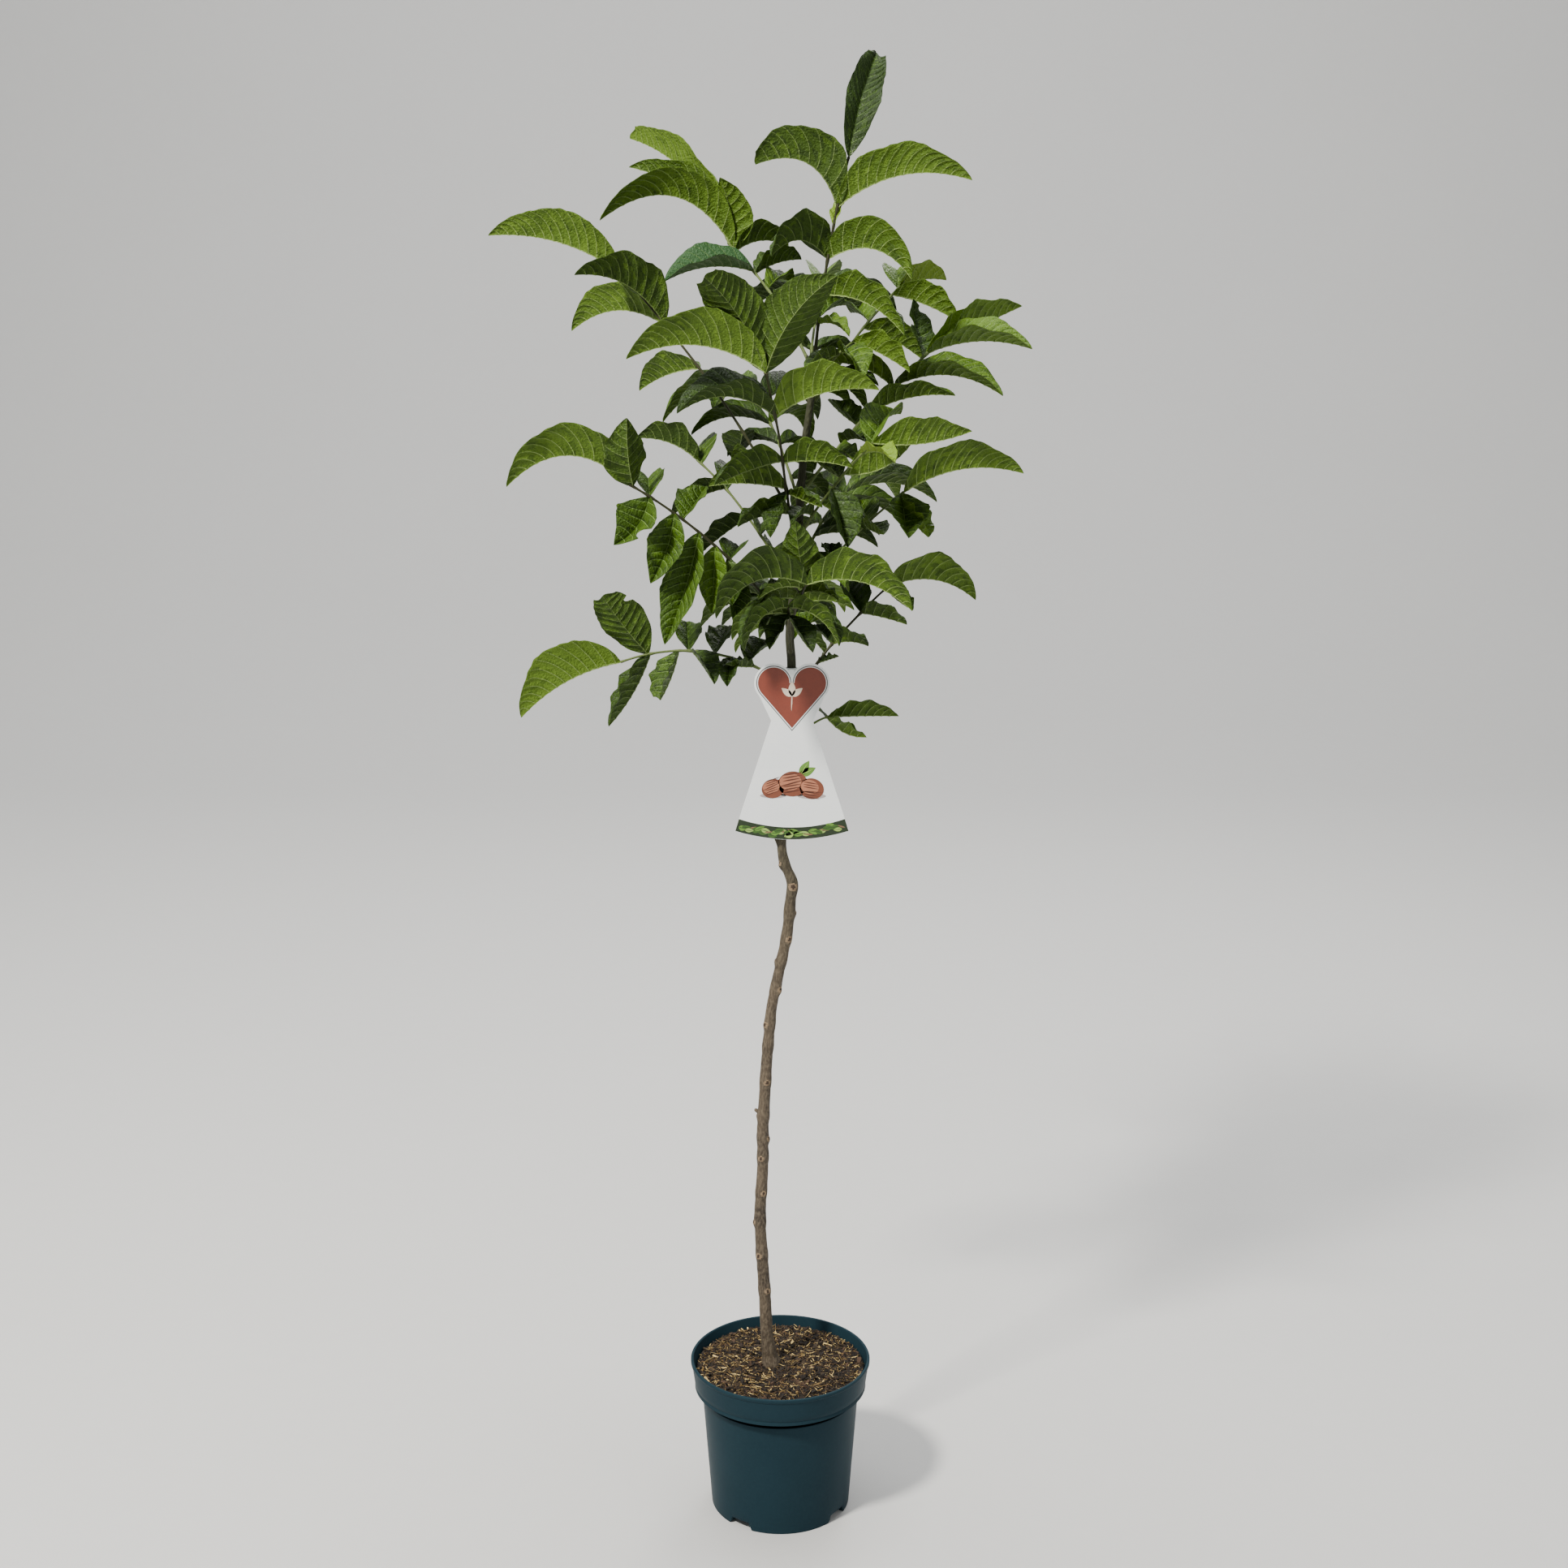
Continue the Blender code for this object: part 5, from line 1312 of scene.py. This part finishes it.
# How light each leaflet is, as a number of TONES: partly its own colour and age, partly painted shade and
# painted sunlight on it; the leaves at the back and the inner leaflets draw theirs
TONE_AND_PAINTED_LIGHT_OF = {
    "leaf_top": (0, 1, 3, 1, 2, 2, 1, 5), "leaf_upper_back": (4, 2, 3, 3, 2, 6, 1),
    "leaf_upper_left": (3, 1, 3, 2, 1, 1), "leaf_front": (3, 1, 1, 0, 4, 1, 2, 2, 1, 1, 2),
    "leaf_mid_left": (3, 1, 2, 2, 2, 2, 2, 3, 2, 1, 1), "leaf_low_left": (4, 1, 1, 2, 1, 1, 1, 0, 1, 0),
    "leaf_low_front": (1, 2, 1), "leaf_low_front_small": (1, 1, 2, 0, 0),
    "leaf_low_right": (3, 2, 2, 1, 1, 1), "leaf_mid_right": (3, 2, 4, 2, 2, 1, 1),
    "leaf_upper_right": (4, 4, 1, 3, 3, 2, 2), "leaf_right": (3, 3, 5, 3, 2, 1, 1),
    "leaf_upper_back_right": (5, 4, 3, 3, 2), "leaf_lowest_right": (2, 3, 1), "leaf_top_right": (4, 3, 2),
}


def leaf_finish(name, colour, roughness, shine):
    """One plain tissue colour, with a fine net of relief and an uneven gloss."""
    finish, shader = plain_finish(name, colour, roughness, shine)
    lay_mottle(finish, shader, (0.5, 0.3), (45.0, 420.0), NET_RELIEF, (roughness - 0.05, roughness + 0.12))
    return finish


def vein_rows(veins):
    """Rows across a blade as (place, vein side, bulge): two close rows hold each vein between them."""
    rows = [(0.0, 0, 0.0), (ROOT_ROW, 0, 0.0)]
    gap = 1.0 / (veins + VEIN_END)
    for vein in range(veins):
        here = (vein + VEIN_START) * gap
        rows += [(here, -1, 0.0), (here, 1, 0.0)]
        rows += [(here + gap * share, 0, bulge) for share, bulge in VEIN_BULGES]
    rows = [row for row in rows if row[0] < LAST_VEIN_ROW]
    rows += [(TIP_ROW, 0, 0.0), (1.0, 0, 0.0)]
    return rows, gap


def fine_half_width(leaflet, share, sign, bites, chance, gap, outline):
    """Half the blade's width on one side: broad in the middle, with a short point, a little uneven."""
    swell = np.sin(np.pi * np.clip(share * outline, 0.0001, 0.9999) ** BLADE_LEAN) ** BLADE_FULL
    swell = swell * (1.0 + 0.012 * np.sin(share * 61.0 + sign * 2.0)
                     + 0.03 * sign * chance.uniform(-1.0, 1.0))
    swell = swell * (1.0 + 0.009 * np.sin(share * math.tau / gap + chance.uniform(0.0, 6.0))
                     + 0.020 * np.sin(share * chance.uniform(14.0, 24.0) + sign * chance.uniform(1.0, 3.0)))
    width = np.maximum(0.0009 * (1.0 - share) + 0.0002 * share, leaflet.width * CM / 2.0 * swell)
    for place, side, depth, half in bites:
        mark = np.clip(1.0 - ((share - place) / half) ** 2, 0.0, 1.0) ** 0.5
        width = width * (1.0 - np.where(sign == side, depth, 0.0) * mark)
    return width


def skin_faces(high, wide):
    """Faces of a closed thin sheet: its top, its underside, and the rims that join them, in that order."""
    index = np.arange(high * wide).reshape(high, wide)
    under = index + high * wide
    quads = np.stack([index[:-1, :-1], index[1:, :-1], index[1:, 1:], index[:-1, 1:]], axis=-1)
    return [quads.reshape(-1, 4), (quads[:, :, ::-1] + high * wide).reshape(-1, 4),
            np.stack([index[:-1, 0], under[:-1, 0], under[1:, 0], index[1:, 0]], axis=-1),
            np.stack([index[:-1, -1], index[1:, -1], under[1:, -1], under[:-1, -1]], axis=-1),
            np.stack([index[0, :-1], index[0, 1:], under[0, 1:], under[0, :-1]], axis=-1),
            np.stack([index[-1, 1:], index[-1, :-1], under[-1, :-1], under[-1, 1:]], axis=-1)]


def blade_mesh(leaf, leaflet, chance, bites, outline):
    """Points, faces, finish kinds and tone steps of one fine leaflet, with its veins in relief."""
    length = math.hypot(leaflet.out, leaflet.rise) * CM
    rows, gap = vein_rows(max(FEWEST_VEINS, round(length / VEIN_SPACING)))
    place, vein_side, bulge = (np.array(column, float)[:, None] for column in zip(*rows))
    half = np.array(HALF_COLUMNS)
    middle = len(half) - 1
    reach = np.concatenate([half[:0:-1], half])[None, :] + 0.0 * place
    sign = np.sign(np.arange(2 * middle + 1) - middle)[None, :] + 0.0 * place
    place = place + vein_side * VEIN_HALF * gap * (1.0 - VEIN_TAPER * reach)
    slant = 4.0 * VEIN_SLANT * place * (1.0 - place) * (0.62 * reach + 0.38 * reach ** 2)
    share = np.clip(place + slant, 0.0, 1.0)
    width = fine_half_width(leaflet, share, sign, bites, chance, gap, outline)
    share = share * (1.0 - (1.0 - outline) * (0.4 - 0.14 * np.sin(sign * reach * 4.0 + 1.0)) * share ** 4)
    rib = np.clip(MIDRIB_HALF * (1.25 - share[:, middle]) / width[:, middle], 0.01, 0.09)
    reach[:, middle - 1] = rib
    reach[:, middle + 1] = rib

    out = np.array(heading(leaflet.bearing))
    up = np.array(UP)
    run = (out * leaflet.out + up * leaflet.rise) * CM
    lift = up * leaflet.out - out * leaflet.rise
    lift = lift / np.linalg.norm(lift) * blade_arch(leaflet) * CM
    share = share[:, :, None]
    centre = bowed(np.array(bowed(*stalk_frame(leaf), leaflet.place)), run, lift, share)
    along = run + lift * (4.0 - 8.0 * share)
    along = along / np.linalg.norm(along, axis=2, keepdims=True)
    flat = np.array(heading(leaflet.bearing + 90.0))
    twist = np.radians(leaflet.turn + chance.uniform(-TWIST, TWIST) * share)
    side = np.cos(twist) * flat + np.sin(twist) * np.cross(along, flat)
    normal = np.cross(along, side)

    fold = math.radians(leaflet.fold)
    rise = width * math.sin(fold) * (1.2 * reach - 0.2 * reach ** 2)
    rise += QUILT * bulge * np.sin(np.pi * np.clip(reach, 0.0, 1.0)) ** 0.7
    sway = chance.uniform(*EDGE_SWAY)
    waves = chance.uniform(*EDGE_WAVES)
    start = chance.uniform(0.0, 6.0)
    ripple = np.sin(share[:, :, 0] * waves * math.tau + start + sign * 1.3)
    rise += sway * ripple * reach ** 2 * width / width.max()
    sheet = centre + side * (sign * reach * width * math.cos(fold))[:, :, None] + normal * rise[:, :, None]

    near_rib = np.zeros_like(reach)
    near_rib[:, middle - 1:middle + 2] = (0.35, 1.0, 0.35)
    on_vein = np.abs(vein_side) * (1.0 - 0.75 * reach)
    top = LEAF_THICK / 2.0 - 0.00012 * on_vein - 0.0003 * near_rib
    below = LEAF_THICK / 2.0 + RIDGE * on_vein + MIDRIB_DEEP * near_rib * (1.0 - 0.75 * share[:, :, 0])
    points = np.concatenate([(sheet + normal * top[:, :, None]).reshape(-1, 3),
                             (sheet - normal * below[:, :, None]).reshape(-1, 3)])
    faces = skin_faces(*reach.shape)
    rims = sum(len(rim) for rim in faces[2:])
    marked = (vein_side[:-1] < 0) & (vein_side[1:] > 0) & np.ones((1, 2 * middle), bool)
    marked[:, middle - 1:middle + 1] = True
    kinds = [np.where(marked, 2, 0).reshape(-1), np.where(marked, 3, 1).reshape(-1), np.ones(rims, int)]
    steps = patchy(share[:, :, 0], sign * reach, vein_side, chance)
    steps = np.concatenate([steps, steps, np.zeros(rims, int)])
    return points, np.concatenate(faces), np.concatenate(kinds), steps


def patchy(share, across, vein_side, chance):
    """A step darker or lighter for each face: soft patches, a step of painted shade in the crease before each
    vein, a step of painted highlight on the crest after it, and speckle.
    """
    along = (share[:-1, :-1] + share[1:, 1:]) / 2.0
    aside = (across[:-1, :-1] + across[1:, 1:]) / 2.0
    cloud = 0.0 * along
    for _ in range(CLOUDS):
        turn = chance.uniform(0.0, math.tau)
        size = chance.uniform(6.0, 16.0)
        across_cloud = along * 2.0 * math.cos(turn) + aside * math.sin(turn)
        cloud += np.sin(size * across_cloud + chance.uniform(0.0, 6.0))
    steps = np.where(cloud > CLOUD_LEVEL, 1, np.where(cloud < -CLOUD_LEVEL, -1, 0))
    spray = np.random.default_rng(chance.randrange(1000000)).random(steps.shape)
    before = (vein_side[1:] < 0) & (vein_side[:-1] == 0)
    after = (vein_side[:-1] > 0) & (vein_side[1:] == 0)
    # Painted shade in the crease before each vein, painted highlight on the crest after it
    steps = steps - (before & (spray < PAINTED_CREASE_SHADE_SHARE)) + (after & (spray < PAINTED_CREST_HIGHLIGHT_SHARE))
    steps = steps + (spray > 1.0 - SPECKLE_SHARE) - ((spray > 0.5) & (spray < 0.5 + SPECKLE_SHARE))
    return steps.reshape(-1)


def build_leaflets(grown):
    finishes = [leaf_finish(side + "_" + tone, colour, *gloss)
                for side, colours, gloss, _ in SIDES for tone, colour in zip(TONES, colours)]
    finishes += [leaf_finish(side + "_vein_" + kind, colour, 0.5, 0.3)
                 for side, _, _, veins in SIDES for kind, colour in veins]
    by_name = {leaf.name: (leaf, kept) for leaf, kept in grown}
    chance = random.Random(LEAFLET_SEED)
    for group, names in GROUPS:
        points = []
        faces = []
        picks = []
        count = 0
        for name in names:
            leaf, kept = by_name[name]
            for number, leaflet in kept:
                bites = BITES.get((name, number), ())
                outline = BLUNT.get((name, number), 1.0)
                blade, blade_faces, kinds, steps = blade_mesh(leaf, leaflet, chance, bites, outline)
                tone = chance.choices(range(len(TONE_MIX)), TONE_MIX)[0]
                # A listed tone holds painted shade or painted sunlight as well as the leaflet's own colour
                if number < len(TONE_AND_PAINTED_LIGHT_OF.get(name, ())):
                    tone = TONE_AND_PAINTED_LIGHT_OF[name][number]
                tones = np.clip(tone + steps, 0, YOUNG - 1) if tone < YOUNG else tone + 0 * steps
                vein = 2 * len(TONES) + 2 * (kinds - 2) + int(1 < tone < BLUE)
                points.append(blade)
                faces.append(blade_faces + count)
                picks.append(np.where(kinds > 1, vein, tones + len(TONES) * kinds))
                count += len(blade)
        body = Body(np.concatenate(points).tolist(), np.concatenate(faces).tolist(),
                    np.concatenate(picks).astype(np.int32))
        piece = made_piece(group, body, finishes, sharp=70.0)
        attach(piece, "root")
        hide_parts(*names)


build_leaflets(leaves_grown)

# Backdrop, light and camera. A pale sheet lies under the tree and curves up far behind it. A soft lamp
# stands high on the left, weaker ones on the right and behind, and a wide one high up for the backdrop.
SHEET_HALF_WIDTH = 14.0
SHEET_FRONT = -14.0
SHEET_BEND = 4.0
SHEET_RADIUS = 3.0
SHEET_TOP = 9.0
SHEET_STEPS = 32
SHEET_GREYS = ((0.62, 0.62, 0.615), (0.60, 0.60, 0.595), (0.64, 0.64, 0.635))
AIR_COLOUR = (0.99, 0.99, 0.97, 1.0)
AIR_STRENGTH = 0.46
Lamp = namedtuple("Lamp", "name spot aim size power colour")
LAMPS = (
    Lamp("key_lamp", (-1.7, -1.9, 3.7), (0.0, 0.0, 1.1), 0.5, 260.0, (1.0, 0.96, 0.88)),
    Lamp("fill_lamp", (2.6, -2.0, 1.7), (0.0, 0.0, 0.9), 2.2, 14.0, (0.94, 0.97, 1.0)),
    Lamp("back_lamp", (0.8, 2.6, 3.2), (0.0, 0.0, 1.2), 1.4, 45.0, (1.0, 0.99, 0.95)),
    Lamp("backdrop_lamp", (0.0, 1.6, 6.5), (0.0, 5.5, 1.0), 5.0, 330.0, (1.0, 1.0, 1.0)),
)
CAMERA_PLACE = (0.0045, -2.3, 1.4)
CAMERA_DOWN = 12.3
LENS = 47.38
SENSOR = 36.0
VIEW_END = 100.0


def build_backdrop():
    outline = [(SHEET_FRONT, 0.0)]
    for step in range(SHEET_STEPS + 1):
        angle = math.radians(90.0) * step / SHEET_STEPS
        outline.append((SHEET_BEND + SHEET_RADIUS * math.sin(angle), SHEET_RADIUS * (1.0 - math.cos(angle))))
    outline.append((SHEET_BEND + SHEET_RADIUS, SHEET_TOP))
    points = [(across, back, up) for back, up in outline for across in (-SHEET_HALF_WIDTH, SHEET_HALF_WIDTH)]
    faces = [(2 * row, 2 * row + 1, 2 * row + 3, 2 * row + 2) for row in range(len(outline) - 1)]
    finish = mottled_finish("backdrop_pale", SHEET_GREYS, 0.9, shares=(0.3, 0.2), scales=(1.5, 30.0),
                            relief=0.00001)
    made_piece("backdrop", Body(points, faces, [0] * len(faces)), [finish], sharp=50.0)


def build_light_and_camera():
    world = bpy.data.worlds.new("studio_air")
    world.use_nodes = True
    air = world.node_tree.nodes["Background"]
    air.inputs["Color"].default_value = AIR_COLOUR
    air.inputs["Strength"].default_value = AIR_STRENGTH
    bpy.context.scene.world = world
    for lamp in LAMPS:
        light = bpy.data.lights.new(lamp.name, "AREA")
        light.shape = "DISK"
        light.size = lamp.size
        light.energy = lamp.power
        light.color = lamp.colour
        holder = bpy.data.objects.new(lamp.name, light)
        holder.location = lamp.spot
        holder.rotation_euler = (Vector(lamp.aim) - Vector(lamp.spot)).to_track_quat("-Z", "Y").to_euler()
        bpy.context.scene.collection.objects.link(holder)
    lens = bpy.data.cameras.new("camera")
    lens.lens = LENS
    lens.sensor_width = SENSOR
    lens.sensor_fit = "HORIZONTAL"
    lens.clip_end = VIEW_END
    camera = bpy.data.objects.new("camera", lens)
    camera.location = CAMERA_PLACE
    camera.rotation_euler = (math.radians(90.0 - CAMERA_DOWN), 0.0, 0.0)
    bpy.context.scene.collection.objects.link(camera)
    bpy.context.scene.camera = camera


build_backdrop()
build_light_and_camera()
